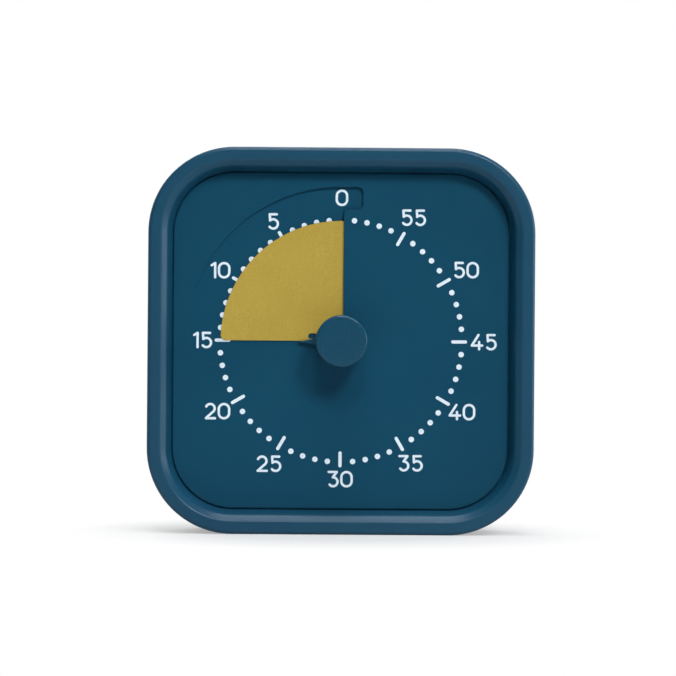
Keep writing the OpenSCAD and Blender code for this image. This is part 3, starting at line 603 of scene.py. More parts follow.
# %% [markdown]
# ## The case
#
# The case is one moulding: a flat front rim, a bezel that falls in two slopes to the
# dial, and a deep outer wall. On the real thing every edge is eased, which is what gives
# the thin bright lines around the front. All its corners are concentric, so the whole
# bezel can be made by insetting one rounded square, each time with a depth. The wall gets
# its thickness before the edges are rounded, or the rounding would fold over inside.

# %% Sizes of the case
CORNER_R = 31.0
RIM_W = 4.65
SLOPE_W = (2.45, 1.5)
FOLD_DROP = 1.9
FOOT_DROP = 1.1
SKIN = 2.2
EDGE_R = 1.5
FOLD_EASE = 0.8
INNER_EASE = 0.45
SEAM_GAP = 0.12
RIM_H = depth_of(case_low.y)
SEAM = depth_of(case_high.y)
FOLD = RIM_H - FOLD_DROP
ARC_C = HALF - CORNER_R


def corner_radius(x, y):
    """How far a point lies outside the straight part: the radius of the loop it is on."""
    return math.hypot(max(abs(x) - ARC_C, 0), max(abs(y) - ARC_C, 0))


R_RIM = CORNER_R - RIM_W
R_FOLD = R_RIM - SLOPE_W[0]
R_FOOT = R_FOLD - SLOPE_W[1]
print("seam", round(SEAM, 2), "loops at", R_RIM, R_FOLD, R_FOOT)

# %% The case's shell
case = rectangle("case_shell", 2 * HALF, 2 * HALF, CORNER_R, RIM_H, segments=24)
bpy.ops.mesh.inset(thickness=RIM_W * MM, depth=0)
bpy.ops.mesh.inset(thickness=SLOPE_W[0] * MM, depth=-(RIM_H - FOLD) * MM)
bpy.ops.mesh.inset(thickness=SLOPE_W[1] * MM, depth=-FOLD * MM)
extrude(-FOOT_DROP)
bpy.ops.mesh.delete(type="FACE")
pick(case, "EDGE", lambda x, y, z: corner_radius(x, y) > CORNER_R - NEAR)
extrude(SEAM - RIM_H)
modify(case, "SOLIDIFY", thickness=SKIN * MM, offset=-1, use_even_offset=True, use_rim=True)
print("shell has", len(case.data.polygons), "faces")

# %% [markdown]
# Four edges are eased: the outer rim generously, as it is held in the hand, the fold so
# that it reads as one soft ridge, and the rim's inner edge and the foot only as far as a
# mould's own edge. The edge at the seam is cut back a little, which leaves a fine line.

# %% The case's edges
def ease_loop(piece, radius, level, width, segments):
    """Rounds the loop of edges at a corner radius and level."""
    round_edges(piece, width, segments, lambda x, y, z:
                abs(corner_radius(x, y) - radius) < 2 * NEAR and abs(z - level) < 2 * NEAR)


open_up(case)
ease_loop(case, CORNER_R, RIM_H, EDGE_R, 6)
ease_loop(case, R_RIM, RIM_H, INNER_EASE, 3)
ease_loop(case, R_FOLD, FOLD, FOLD_EASE, 5)
ease_loop(case, R_FOOT, 0, INNER_EASE, 3)
ease_loop(case, CORNER_R, SEAM, SEAM_GAP, 1)
print("eased shell has", len(case.data.polygons), "faces")

# %% [markdown]
# Behind the rim stand the bosses that the screws bite into: four long ones for the rear
# cover in the corners, and four short ones for the dial plate at the sides.

# %% Bosses
PILOT_R = 1.12
WALL = 2.5
COVER_BOSS_R = 3.6
BOSS_BITE = 0.6
COVER_BOSS_END = -4.1
COVER_PILOT_DEEP = 9
DIAL_BOSS_WALL = 0.9
R_WALL = CORNER_R - WALL
COVER_BOSS_AT = ARC_C + (R_WALL - COVER_BOSS_R + BOSS_BITE) / math.sqrt(2)
DIAL_BOSS_R = PILOT_R + DIAL_BOSS_WALL
DIAL_BOSS_AT = (ARC_C + R_WALL - DIAL_BOSS_R, 28)
CORNERS = [(i, j) for i in (-1, 1) for j in (-1, 1)]
COVER_SCREWS = [(i * COVER_BOSS_AT, j * COVER_BOSS_AT) for i, j in CORNERS]
DIAL_SCREWS = [(i * DIAL_BOSS_AT[0], j * DIAL_BOSS_AT[1]) for i, j in CORNERS]
fuse(case, *rods("boss", COVER_BOSS_R, SEAM + 0.05, COVER_BOSS_END, COVER_SCREWS),
     *rods("boss", DIAL_BOSS_R, -FOOT_DROP, FOLD - 0.4, DIAL_SCREWS))
cut(case, *rods("pilot", PILOT_R, SEAM - 1, SEAM + COVER_PILOT_DEEP, COVER_SCREWS),
    *rods("pilot", PILOT_R, -FOOT_DROP - 1, FOLD - 1, DIAL_SCREWS))
finish_piece(case, "case", "case_plastic", case_abs, "front_case")

# %% [markdown]
# ## The dial plate
#
# The dial is one thin moulding with a lot to do. It has a step all round that lies
# behind the case's bezel. On its left the floor dives, as a screw surface, to the slit
# at the top through which the coloured disk comes up, and the short recess right of the
# slit lets the disk's edge pass behind the plate. The plate starts as two rounded
# plates, and every opening is cut with a solid whose mouth is flared by a quarter round,
# so that the edge which it leaves is soft, as on a moulding.

# %% The plate and its openings
DIAL_GAP = 0.4
DIAL_R = R_FOOT - DIAL_GAP
DIAL_EDGE = 0.4
PLATE_T = 2.0
PLATE_BACK = depth_of(dial_high.y)
FLANGE_T = 1.6
FLANGE_FIT = 0.3
FLANGE_R = R_WALL - FLANGE_FIT
SCREW_HOLE_R = 1.4
WEB_T = 0.7
WEB_R = 45.5
RAMP_R = 56.0
RAMP_T = 0.9
HOLE_R = 7.0
SLIT_X = 0.8
SLIT_R = 0.8
SLIT_END = 44.5
POCKET_W = 7.7
POCKET_LOW = 47.8
POCKET_R = 2
FLOOR = -1.4
RAMP_ANGLE = 95
EASE = 0.2
POST_AT = 43.0
POST_WALL = 1.7

dial_half = ARC_C + DIAL_R
dial = slab("dial_plate", 2 * dial_half, 2 * dial_half, DIAL_R, -PLATE_T, PLATE_T, segments=24)
round_edges(dial, DIAL_EDGE, 4, lambda x, y, z: z > -NEAR)
flange_half = ARC_C + FLANGE_R
fuse(dial, slab("flange", 2 * flange_half, 2 * flange_half, FLANGE_R, -FOOT_DROP - FLANGE_T,
                FLANGE_T, segments=24))
POSTS = [(i * POST_AT, j * POST_AT) for i, j in CORNERS]
fuse(dial, *rods("post", PILOT_R + POST_WALL, PLATE_BACK, -1, POSTS))
cut(dial, *rods("pilot", PILOT_R, PLATE_BACK - 1, -1.2, POSTS),
    *rods("hole", SCREW_HOLE_R, -4, 0, DIAL_SCREWS), rod("web", WEB_R, -WEB_T, -4, sides=160))
print("plate", len(dial.data.polygons), "faces")

# %% [markdown]
# The sector over the sloping floor is spun from one edge, counterclockwise from the top,
# as the time goes. The slit and the short recess beside it are one L-shaped outline,
# whose three corners get their own rounding.

# %% The recess and the slit
def sector(name, r0, r1, start, angle, z, steps):
    """A flat sector between two radii. Angles go counterclockwise from the top."""
    turn = math.radians(start)
    aim = Vector((-math.sin(turn), math.cos(turn)))
    piece = chain(name, [place(*(aim * r0), z), place(*(aim * r1), z)])
    select_mesh()
    bpy.ops.mesh.spin(steps=steps, angle=math.radians(angle), center=place(0, 0, z), axis=(0, 1, 0))
    weld()
    closed(piece)
    face_towards(piece, -1)
    return piece


THROUGH = -3.2
OPEN_ANGLE = RAMP_ANGLE - 0.5
cut(dial, cutter(sector("over_floor", HOLE_R - 1, RAMP_R + EASE, 0, OPEN_ANGLE, CLEAR, 60),
                 THROUGH, EASE))
right = SLIT_X + EASE
slit_corners = [(-1, HOLE_R - 1), (right, HOLE_R - 1), (right, POCKET_LOW - EASE),
                (POCKET_W + EASE, POCKET_LOW - EASE), (POCKET_W + EASE, RAMP_R + EASE),
                (-1, RAMP_R + EASE)]
slit_radii = [0, 0, SLIT_R - EASE, POCKET_R + EASE, POCKET_R + EASE, 0]
cut(dial, cutter(outline("slit", slit_corners, slit_radii, CLEAR, -1), THROUGH, EASE))
print("plate with its recess", len(dial.data.polygons), "faces")

# %% [markdown]
# The floor itself is a strip, one thin section carried round by the Screw modifier. Its
# offset is what makes it rise: from 1.4 mm under the face at the slit to nothing at 95
# degrees. The modifier leaves both ends open, so they are filled. Under the short recess
# the floor stays level, and it also closes the slit beyond the reach of the disk.

# %% The sloping floor
RISE = -FLOOR / RAMP_ANGLE
UNDER = 1


def screw_strip(name, r0, r1, start, angle, z, thickness, steps):
    """A strip between two radii that rises RISE millimetres a degree, counterclockwise."""
    deselect()
    middle = place(0, 0, 0)
    turn = math.radians(start)
    aim = Vector((-math.sin(turn), math.cos(turn)))
    low, high, top = aim * r0, aim * r1, z + thickness
    section = [place(*low, z), place(*high, z), place(*high, top), place(*low, top)]
    piece = chain(name, section + section[:1])
    weld()
    bpy.ops.transform.translate(value=-middle)
    deselect()
    piece.location = middle
    modify(piece, "SCREW", axis="Y", angle=-math.radians(angle), screw_offset=-RISE * angle * MM,
           steps=steps, render_steps=steps, use_merge_vertices=False)
    piece.select_set(True)
    bpy.ops.object.transform_apply(location=True)
    open_up(piece)
    bpy.ops.mesh.fill_holes(sides=4)
    return closed(piece)


fuse(dial, screw_strip("sloping_floor", HOLE_R, RAMP_R + 1.2, 0, OPEN_ANGLE + 0.15,
                       FLOOR - RAMP_T, RAMP_T, 60))
low_corners = [(-0.5, SLIT_END), (1.5, SLIT_END), (1.5, POCKET_LOW - UNDER),
               (POCKET_W + UNDER, POCKET_LOW - UNDER), (POCKET_W + UNDER, RAMP_R + UNDER),
               (-0.5, RAMP_R + UNDER)]
low_radii = [0, 0, 0, POCKET_R + UNDER, POCKET_R + UNDER, 0]
fuse(dial, thicken(outline("low_floor", low_corners, low_radii, FLOOR - RAMP_T), RAMP_T))
print("plate with its floor", len(dial.data.polygons), "faces")

# %% [markdown]
# Last come the round hole in the middle and the shallow field at 15, a moulded pocket
# only 0.15 mm deep that shows as a thin line of light along its edges.

# %% The middle hole and the shallow field
FIELD_AT = (-45.7, -2.9)
FIELD_W, FIELD_H, FIELD_R = 5.1, 11.6, 1.1
FIELD_DEEP = 0.15
FIELD_EASE = 0.12
cut(dial, cutter(disc("middle", HOLE_R + EASE, CLEAR, side=-1), THROUGH, EASE))
cut(dial, cutter(rectangle("field", FIELD_W + 2 * FIELD_EASE, FIELD_H + 2 * FIELD_EASE, FIELD_R,
                           CLEAR, FIELD_AT, side=-1), -FIELD_DEEP, FIELD_EASE))
finish_piece(dial, "case", "dial_plastic", dial_abs, "dial_face")

# %% [markdown]
# ## The coloured disk
#
# The disk is a single turn of the same screw as the floor, so it comes out of the slit
# at one height whatever the time. Its leading corner is rounded, and a small slot beside
# the arm locates it while it is glued on.

# %% The disk
SHOWN_ANGLE = 90
SPAN = 358
DISK_T = 0.3
DISK_R = 43.7
DISK_IN_R = 4.6
DISK_GAP = 0.2
LEAD_R = 2
SLOT_W, SLOT_H, SLOT_R = 3.2, 1.9, 0.94
SLOT_AT = (-10.3, 1.75)
DISK_LEVEL = -WEB_T - DISK_GAP - DISK_T
disk = screw_strip("coloured_disk", DISK_IN_R, DISK_R, SHOWN_ANGLE - SPAN, SPAN,
                   DISK_LEVEL + RISE * (SHOWN_ANGLE - SPAN), DISK_T, 179)
lead_z = DISK_LEVEL + RISE * SHOWN_ANGLE
block = 6
corner = slab("corner", block, block, 0, lead_z - 1, 2,
              (-DISK_R + LEAD_R - block / 2, LEAD_R - block / 2))
cut(corner, rod("round", LEAD_R, lead_z - 2, lead_z + 2, (-DISK_R + LEAD_R, LEAD_R)))
cut(disk, corner)
cut(disk, slab("slot", SLOT_W, SLOT_H, SLOT_R, lead_z - 1, 2, SLOT_AT))
finish_piece(disk, "disk", "disk_card", disk_film, "time_disk")

# %% [markdown]
# ## The arm
#
# The disk hangs on a sleeve that slides along the arbor, and the sleeve's arm lies on
# the disk's leading edge. Only the arm's tip shows beside the knob: it tapers to the
# left, and its rounded upper edge catches the light from above. The arm is built up of
# three outlines, a foot on the disk, a wider side and a crown with an eased edge, which
# overlap a little so that they fuse into one solid.

# %% The sleeve and its arm
KNOB_R = 9.35
HUB_R = 4.2
HUB_DROP = 3.2
ARM_REACH = 15.3
ARM_H = 1.8
CROWN_T = 0.5
ARM_EASE = 0.15
ARBOR_R = 2.5
FLAT_AT = 2
ARM_TOP = lead_z + ARM_H
hub = rod("disk_sleeve", HUB_R, lead_z - HUB_DROP, ARM_TOP - 0.02, sides=90)
foot = [(-1, -0.04), (-ARM_REACH + 0.04, -0.04), (-ARM_REACH + 0.04, -0.31), (-KNOB_R, -1.2),
        (-1, -1.3)]
side = [(-1, -0.02), (-ARM_REACH + 0.02, -0.02), (-ARM_REACH + 0.02, -0.33), (-KNOB_R, -1.38),
        (-1, -1.78)]
crown = [(0, 2.2), (-KNOB_R + 0.7, 2.0), (-KNOB_R + 0.1, 1.0), (-KNOB_R - 2.2, 0.5),
         (-ARM_REACH + 1.6, 0), (-ARM_REACH, 0), (-ARM_REACH, -0.35), (-KNOB_R, -1.4), (0, -1.8)]
crown_radii = [0, 0.3, 0.4, 0.8, 0.7, 0.16, 0.16, 1.2, 0]
fuse(hub, thicken(outline("foot", foot, [0] * 5, lead_z), 1.2),
     thicken(outline("side", side, [0] * 5, ARM_TOP - 0.9), 0.45),
     eased(outline("crown", crown, crown_radii, ARM_TOP - CROWN_T), CROWN_T, ARM_EASE))


def arbor_bore(z0, z1, fit):
    """A drill with two flats, for what sits on the arbor."""
    drill = disc("drill", ARBOR_R + fit, z0, sides=48)
    for way in (-1, 1):
        select_mesh()
        bpy.ops.mesh.bisect(plane_co=place(0, way * (FLAT_AT + fit), z0), plane_no=(0, 0, way),
                            clear_outer=True)
    select_mesh()
    return thicken(drill, z1 - z0)


cut(hub, arbor_bore(lead_z - 5, ARM_TOP + 1, 0.05))
finish_piece(hub, "disk", "knob_plastic", knob_abs, "disk_hub")

# %% [markdown]
# ## The knob
#
# A turned piece: a flat face, a small round at its edge, a thin skirt and a core that
# holds the arbor. The section is drawn once and spun.

# %% The knob
KNOB_H = depth_of(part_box("knob")[0].y)
KNOB_LOW = depth_of(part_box("knob")[1].y)
KNOB_WALL = 1.8
KNOB_EDGE = 0.9
SKIRT_EASE = 0.3
section = [(0, KNOB_H)]
section += arc(KNOB_EDGE, KNOB_R - KNOB_EDGE, KNOB_H - KNOB_EDGE, 90, 0)
section += arc(SKIRT_EASE, KNOB_R - SKIRT_EASE, KNOB_LOW + SKIRT_EASE, 0, -90, 3)
section += [(KNOB_R - KNOB_WALL, KNOB_LOW), (KNOB_R - KNOB_WALL, KNOB_H - KNOB_WALL),
            (HUB_R, KNOB_H - KNOB_WALL), (HUB_R, KNOB_LOW), (0, KNOB_LOW)]
knob = turned("knob_cap", section, sides=144)
cut(knob, arbor_bore(KNOB_LOW - 1, KNOB_H - KNOB_WALL, 0.02))
finish_piece(knob, "knob", "knob_plastic", knob_abs, "knob")

# %% [markdown]
# ## The rear cover
#
# The cover closes the case with a lip that fits inside the wall. Seen from behind it
# has a sunk bed for the battery door with the cell's opening in it, a shallow finger
# recess for the sound switch, five slots in front of the sounder and four counterbored
# screw holes. Each opening is cut from behind with the same flared cutters.

# %% The cover's plate and lip
COVER_T = 2.6
REAR = SEAM - COVER_T
COVER_FIT = 0.3
LIP_H = 2.0
LIP_T = 1.5
BED_WALL = 1.5
BED_SKIN = 1.2
door_low, door_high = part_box("battery_door")
DOOR_W, DOOR_H, DOOR_T, DOOR_R = 62.0, 21.0, 2.0, 2
DOOR_TRAVEL = 7.0
DOOR_AT = ((door_low.x + door_high.x) / 2 / MM,
           ((door_low.z + door_high.z) / 2 - MIDDLE_HEIGHT) / MM)
BED = REAR + DOOR_T + 0.3
bed_at = (DOOR_AT[0] + DOOR_TRAVEL / 2, DOOR_AT[1])

cover = slab("rear_cover_shell", 2 * HALF, 2 * HALF, CORNER_R, REAR, COVER_T, segments=24)
ease_loop(cover, CORNER_R, REAR, EDGE_R, 6)
ease_loop(cover, CORNER_R, SEAM, SEAM_GAP, 1)
lip_half = ARC_C + FLANGE_R
lip = slab("lip", 2 * lip_half, 2 * lip_half, FLANGE_R, SEAM - 0.1, LIP_H + 0.1, segments=16)
inner_half = lip_half - LIP_T
cut(lip, slab("inside", 2 * inner_half, 2 * inner_half, FLANGE_R - LIP_T, SEAM - 1, LIP_H + 2,
              segments=16),
    *rods("room", COVER_BOSS_R + COVER_FIT, SEAM - 1, SEAM + LIP_H + 1, COVER_SCREWS))
bed = slab("bed", DOOR_W + DOOR_TRAVEL + 2 * BED_WALL, DOOR_H + 2 * BED_WALL,
           DOOR_R + BED_WALL, REAR + 1, BED + BED_SKIN - REAR - 1, bed_at)
fuse(cover, lip, bed)
print("cover with its lip", len(cover.data.polygons), "faces")

# %% The cover's openings
BEHIND = REAR - CLEAR
THROUGH_COVER = 4.2
OPENING_EASE = 0.25
CELL_OPENING = (54.3, 14.8, 2)
FINGER_RECESS = (10.2, 6, 1.5)
FINGER_DEEP = 1.2
SWITCH_SLOT = (6.8, 2.6, 0.3)
SWITCH_AT = (16.0, -9.0)
SWITCH_TRAVEL = 3.0
SOUNDER_AT = (-20.0, 13.0)
SOUND_W, SOUND_H, SOUND_PITCH, SOUND_EASE = 1.2, 9, 3, 0.15
SINK_R = 2.3
SINK_DEEP = 1.6
SCREW_HEAD_LEVEL = REAR + SINK_DEEP


def opening(name, w, h, r, at, depth, ease=OPENING_EASE):
    """A cutter for a rounded opening in the cover's rear face."""
    return cutter(rectangle(name, w + 2 * ease, h + 2 * ease, r + ease, BEHIND, at, segments=6),
                  depth, ease)


cut(cover, opening("bed", DOOR_W + DOOR_TRAVEL + 2 * COVER_FIT, DOOR_H + 2 * COVER_FIT,
                   DOOR_R + COVER_FIT, bed_at, BED - REAR))
cut(cover, opening("cell", *CELL_OPENING, DOOR_AT, THROUGH_COVER, 0.0))
switch_mid = (SWITCH_AT[0] + SWITCH_TRAVEL / 2, SWITCH_AT[1])
cut(cover, opening("finger_recess", *FINGER_RECESS, switch_mid, FINGER_DEEP))
cut(cover, opening("switch_slot", *SWITCH_SLOT, switch_mid, THROUGH_COVER, 0.0))
cut(cover, *[opening("sound", SOUND_W, SOUND_H - 2 * abs(i), SOUND_W / 2 - NEAR,
                     (SOUNDER_AT[0] + SOUND_PITCH * i, SOUNDER_AT[1]), THROUGH_COVER, SOUND_EASE)
             for i in range(-2, 3)])
cut(cover, *[cutter(disc("sink", SINK_R + OPENING_EASE, BEHIND, at, sides=48), SINK_DEEP,
                    OPENING_EASE) for at in COVER_SCREWS])
cut(cover, *rods("screw_hole", SCREW_HOLE_R, REAR - 1, SEAM + 1, COVER_SCREWS))
print("cover with its openings", len(cover.data.polygons), "faces")

# %% [markdown]
# The door's four rails run in slots in the bed's side walls. Each slot has an open end
# through which its rail drops in when the door is set down at its open place.

# %% The rail slots
RAIL_L, RAIL_T, RAIL_OUT = 9.0, 0.7, 0.9
RAIL_ROOT = 0.6
RAIL_IN = 6
SLOT_T = 1.0
RAIL_LEVEL = REAR + 0.3 + DOOR_T / 2
RAIL_X = DOOR_W / 2 - RAIL_IN - RAIL_L / 2
RAIL_Y = DOOR_H / 2 + RAIL_OUT / 2 - RAIL_ROOT / 2
rail_places = [(DOOR_AT[0] + i * RAIL_X, DOOR_AT[1] + j * RAIL_Y) for i, j in CORNERS]
slot_l = RAIL_L + DOOR_TRAVEL + 0.9
slot_h = RAIL_OUT + RAIL_ROOT + COVER_FIT
slots = []
for x, y in rail_places:
    slots.append(slab("slot", slot_l, slot_h, 0, RAIL_LEVEL - SLOT_T / 2, SLOT_T,
                      (x + DOOR_TRAVEL / 2 + 0.15, y)))
    slots.append(slab("drop_in", RAIL_L + 1, slot_h + COVER_FIT, 0, REAR - 1,
                      RAIL_LEVEL - REAR + 1.3, (x + DOOR_TRAVEL + 0.5, y)))
cut(cover, *slots)
finish_piece(cover, "case", "case_plastic", case_abs, "rear_cover")

# %% [markdown]
# ## Battery door and sound switch
#
# The door is a flat plate with four thumb grooves and four rails. The switch's button
# is the white end of its slider, with three grooves for the finger nail.

# %% The battery door
DOOR_EDGE = 0.35
GROOVE_W, GROOVE_H, GROOVE_PITCH, GROOVE_IN = 0.8, 9, 2, 6
GROOVE_DEEP = 0.5
GROOVE_EASE = 0.15
door_back = REAR + 0.2
door = slab("battery_door_plate", DOOR_W, DOOR_H, DOOR_R, door_back, DOOR_T, DOOR_AT)
round_edges(door, DOOR_EDGE, 3, lambda x, y, z: abs(z - door_back) < NEAR)
fuse(door, *[slab("rail", RAIL_L, RAIL_OUT + RAIL_ROOT, 0.2, RAIL_LEVEL - 0.1 - RAIL_T / 2,
                  RAIL_T, at, segments=3) for at in rail_places])
groove_x = DOOR_AT[0] - DOOR_W / 2 + GROOVE_IN
cut(door, *[cutter(rectangle("groove", GROOVE_W + 2 * GROOVE_EASE, GROOVE_H + 2 * GROOVE_EASE, 0.5,
                             door_back - CLEAR, (groove_x + GROOVE_PITCH * i, DOOR_AT[1]),
                             segments=4), GROOVE_DEEP, GROOVE_EASE) for i in range(4)])
finish_piece(door, "battery_door", "case_plastic", case_abs, "battery_door")

# %% The sound switch
slider_low, slider_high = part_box("switch_slider")
slider_back, slider_front = depth_of(slider_high.y), depth_of(slider_low.y)
BUTTON_W, BUTTON_H, BUTTON_R, BUTTON_EDGE = 3.2, 2, 0.25, 0.15
NAIL_GROOVE_W, NAIL_GROOVE_PITCH = 0.3, 0.8
slider = slab("sound_switch_button", BUTTON_W, BUTTON_H, BUTTON_R, slider_back,
              slider_front - slider_back, SWITCH_AT, segments=3)
round_edges(slider, BUTTON_EDGE, 2, lambda x, y, z: abs(z - slider_back) < NEAR)
cut(slider, *[slab("groove", NAIL_GROOVE_W, BUTTON_H + 1, 0, slider_back - 0.2, 0.45,
                   (SWITCH_AT[0] + NAIL_GROOVE_PITCH * i, SWITCH_AT[1])) for i in (-1, 0, 1)])
finish_piece(slider, "sound_switch", "slider_plastic", slider_plastic, "switch_slider")

# %% [markdown]
# ## Case screws
#
# Four self-tapping screws hold the cover. One is turned from its section, with a domed
# pan head, gets its cross recess, and is then copied to the other corners.

# %% The case screws
def set_out(piece, places):
    """Copies a piece that was made about the dial's middle to each place, as one object."""
    copies = []
    for x, y in places:
        other = piece.copy()
        other.data = piece.data.copy()
        bpy.context.scene.collection.objects.link(other)
        other.data.transform(Matrix.Translation((x * MM, 0, y * MM)))
        copies.append(other)
    activate(*copies)
    bpy.ops.object.join()
    name = piece.name
    bpy.data.objects.remove(piece)
    copies[0].name = copies[0].data.name = name
    return copies[0]


HEAD_H = 1.5
SHANK_R = 1.1
SCREW_L = 9.5
POINT_L = 0.9
CROSS = (2.5, 0.6)
CROSS_DEEP = 1.0
HEAD_BACK = SCREW_HEAD_LEVEL - HEAD_H
head = [(0, 0), (0.9, 0.04), (1.45, 0.18), (1.8, 0.45), (1.97, 0.85), (2.0, 1.3), (1.95, HEAD_H)]
shank = [(SHANK_R, HEAD_H), (SHANK_R, SCREW_L - POINT_L), (0.35, SCREW_L), (0, SCREW_L)]
screw = turned("pan_head_screws", [(r, HEAD_BACK + z) for r, z in head + shank], sides=40)
for w, h in (CROSS, CROSS[::-1]):
    cut(screw, cutter(rectangle("cross", w, h, 0.2, HEAD_BACK - CLEAR, segments=3),
                      CROSS_DEEP, 0.05, 2))
finish_piece(set_out(screw, COVER_SCREWS), "case", "screw_steel", zinc, "case_screws")

# %% [markdown]
# ## Finishes for the mechanism
#
# The pieces inside keep their solids and get the finish of what they are made of.

# %% The mechanism's finishes
finishes = {
    dial_ink: ["dial_marks"],
    zinc: ["dial_screws", "plate_screws", "movement_screws", "cover_screws"],
    inner_abs: ["mid_plate", "movement_case", "movement_cover"],
    turned_steel: ["arbor"],
    brass: ["clutch_spring", "clutch_collar", "alarm_leaves"],
    acetal: ["centre_wheel", "third_wheel", "fourth_wheel", "fifth_wheel", "rotor_pinion",
             "alarm_cam"],
    ferrite: ["rotor_magnet"],
    core_steel: ["stator", "coil_core", "retaining_clip"],
    nylon: ["coil_bobbin"],
    enamelled_copper: ["coil_winding"],
    laminate: ["circuit_board"],
    chip_epoxy: ["chip", "buzzer"],
    nickel: ["crystal", "switch_body", "positive_contact", "negative_spring"],
    cell_sleeve: ["battery"],
}
for material, names in finishes.items():
    for name in names:
        cad_nodes[name].data.materials.clear()
        cad_nodes[name].data.materials.append(material)
print(sum(len(names) for names in finishes.values()), "solids finished")

# %% [markdown]
# ## Camera and light
#
# A long lens from a little over a metre keeps the case's sides nearly hidden. The
# camera stands slightly to the left. Two soft lamps, one from the upper right and one
# from above, give the knob its two shadows. Two more graze the dial from the side and
# from overhead: they hardly light it, but the bezel's slopes and every eased edge
# mirror them, and those thin bright lines are what shows the shape. These two are a
# little cooler, like window light from the side. The fifth lamp is for whoever walks
# round the object: it lights the back, and from the front it only draws a thin line
# along the case's upper edge.

# %% The camera
FRAME_PX = 676
RIM_CENTRE_PX = (341.3, 341.1)
LENS_MM = 177
CAMERA_DISTANCE = 1.2
CAMERA_AZIMUTH = math.radians(-1.0)
CAMERA_ELEVATION = math.radians(0.15)
CAMERA_ROLL = math.radians(0.45)
aim_at = place(0, 0, RIM_H)
across = math.cos(CAMERA_ELEVATION)
back = Vector((math.sin(CAMERA_AZIMUTH) * across, -math.cos(CAMERA_AZIMUTH) * across,
               math.sin(CAMERA_ELEVATION)))
camera_data = bpy.data.cameras.new("camera")
camera_data.lens = LENS_MM
camera_data.sensor_width = 36
camera_data.shift_x = (FRAME_PX / 2 - RIM_CENTRE_PX[0]) / FRAME_PX
camera_data.shift_y = (RIM_CENTRE_PX[1] - FRAME_PX / 2) / FRAME_PX
camera = bpy.data.objects.new("camera", camera_data)
bpy.context.scene.collection.objects.link(camera)
camera.rotation_mode = "QUATERNION"
camera.location = aim_at + back * CAMERA_DISTANCE
camera.rotation_quaternion = (-back).to_track_quat("-Z", "Y")
camera.rotation_quaternion.rotate(Matrix.Rotation(CAMERA_ROLL, 3, back).to_quaternion())
bpy.context.scene.camera = camera
bpy.context.scene.view_settings.view_transform = "Standard"
print("camera at", [round(v, 3) for v in camera.location])

# %% [markdown]
# The floor is a pale grey sheet, which turns into the white of the background within 10
# centimetres of the object's middle. That white is only for the rays that a viewer sees,
# directly, in a reflection or through something, so no light comes from it and the shadow
# at the object's foot stays. The world is white for the same rays, and dim for all
# others. A studio is white behind the object and dim on the camera's side, and so are
# the reflections here: flat faces keep their colour, and the rounded edges, which mirror
# what is behind, get a light line all round.

# %% The floor and the world
def seen_rays(tree, direction, front, start, full):
    """1 for camera and transmission rays, 0 for diffuse ones, and for glossy rays a value
    that climbs with y, of a place or a direction, from front at start to 1 at full."""
    path = add(tree, "ShaderNodeLightPath")
    depth = add(tree, "ShaderNodeSeparateXYZ", {}, {0: direction}).outputs["Y"]
    behind = between(tree, depth, front, 1, start, full)
    mirrored = maths(tree, "MULTIPLY", path.outputs["Is Glossy Ray"], behind)
    either = maths(tree, "MAXIMUM", path.outputs["Is Camera Ray"], mirrored)
    return maths(tree, "MAXIMUM", either, path.outputs["Is Transmission Ray"])


FLOOR_R = 6
FADE_FROM, FADE_TO = 0.045, 0.1
FADE_LEAST = 0.35
deselect()
bpy.ops.mesh.primitive_circle_add(vertices=96, radius=FLOOR_R, fill_type="NGON",
                                  location=(0, 0, 0))
floor = begin("floor")
bpy.ops.mesh.inset(thickness=4, depth=0)
deselect()
material, tree, output, coordinates = new_material("white_paper_sweep")
far_away = add(tree, "ShaderNodeVectorMath", {"operation": "LENGTH"}, {0: coordinates})
fade = between(tree, far_away.outputs["Value"], FADE_LEAST, 1, FADE_FROM, FADE_TO)
paper = mixed(tree, noise(tree, coordinates, 3, detail=3), "#d2d2d1", "#d8d8d7")
sheet = add(tree, "ShaderNodeBsdfPrincipled", {"Roughness": 0.8}, {"Base Color": paper})
white = add(tree, "ShaderNodeEmission", {"Color": (1, 1, 1, 1), "Strength": 1})
seen = seen_rays(tree, coordinates, front=0, start=-0.1, full=0.2)
share = maths(tree, "MULTIPLY", fade, seen)
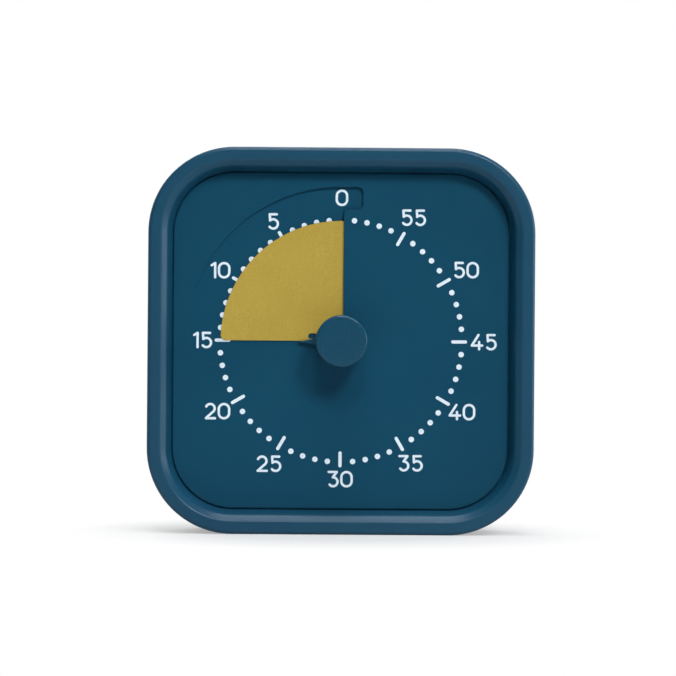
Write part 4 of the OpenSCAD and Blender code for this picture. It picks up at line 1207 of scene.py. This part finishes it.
blend = add(tree, "ShaderNodeMixShader", {}, {0: share, 1: sheet.outputs[0], 2: white.outputs[0]})
tree.links.new(blend.outputs[0], output.inputs["Surface"])
floor.data.materials.append(material)

WORLD_GREY = 0.055
MIRRORED_FRONT = 0.08
world = bpy.data.worlds.new("studio")
bpy.context.scene.world = world
world.use_nodes = True
tree = world.node_tree
tree.nodes.clear()
direction = add(tree, "ShaderNodeTexCoord").outputs["Generated"]
light = add(tree, "ShaderNodeBackground", {"Color": (1, 1, 1, 1), "Strength": WORLD_GREY})
plain = add(tree, "ShaderNodeBackground", {"Color": (1, 1, 1, 1), "Strength": 1})
seen = seen_rays(tree, direction, front=MIRRORED_FRONT, start=-0.1, full=0.4)
blend = add(tree, "ShaderNodeMixShader", {}, {0: seen, 1: light.outputs[0], 2: plain.outputs[0]})
output = add(tree, "ShaderNodeOutputWorld", {}, {"Surface": blend.outputs[0]})
print("floor and world ready")

# %% The lamps
COOL = "#edf5ff"


def lamp(name, at, size, power, tint="#ffffff"):
    """A square soft lamp at a place in metres, aimed at the object's middle."""
    data = bpy.data.lights.new(name, "AREA")
    data.shape = "SQUARE"
    data.size = size
    data.energy = power
    data.color = colour(tint)[:3]
    obj = bpy.data.objects.new(name, data)
    bpy.context.scene.collection.objects.link(obj)
    obj.location = at
    obj.rotation_euler = (aim_at - Vector(at)).to_track_quat("-Z", "Y").to_euler()


lamp("key_upper_right", (0.45, -0.98, 0.82), 0.28, 8.3)
lamp("soft_above", (0.0, -0.95, 0.97), 0.28, 4.4)
lamp("strip_right", (1.25, -0.2, 0.2), 0.5, 6.1, COOL)
lamp("strip_overhead", (0.05, -0.2, 1.33), 0.5, 9.0, COOL)
lamp("soft_behind", (-0.35, 1.1, 0.85), 0.7, 8.0)
print("lamps ready")

# %% [markdown]
# The last line counts the pieces modelled here and their faces.

# %% Pieces modelled
print(len(pieces_made), "pieces modelled,", sum(pieces_made.values()), "faces")
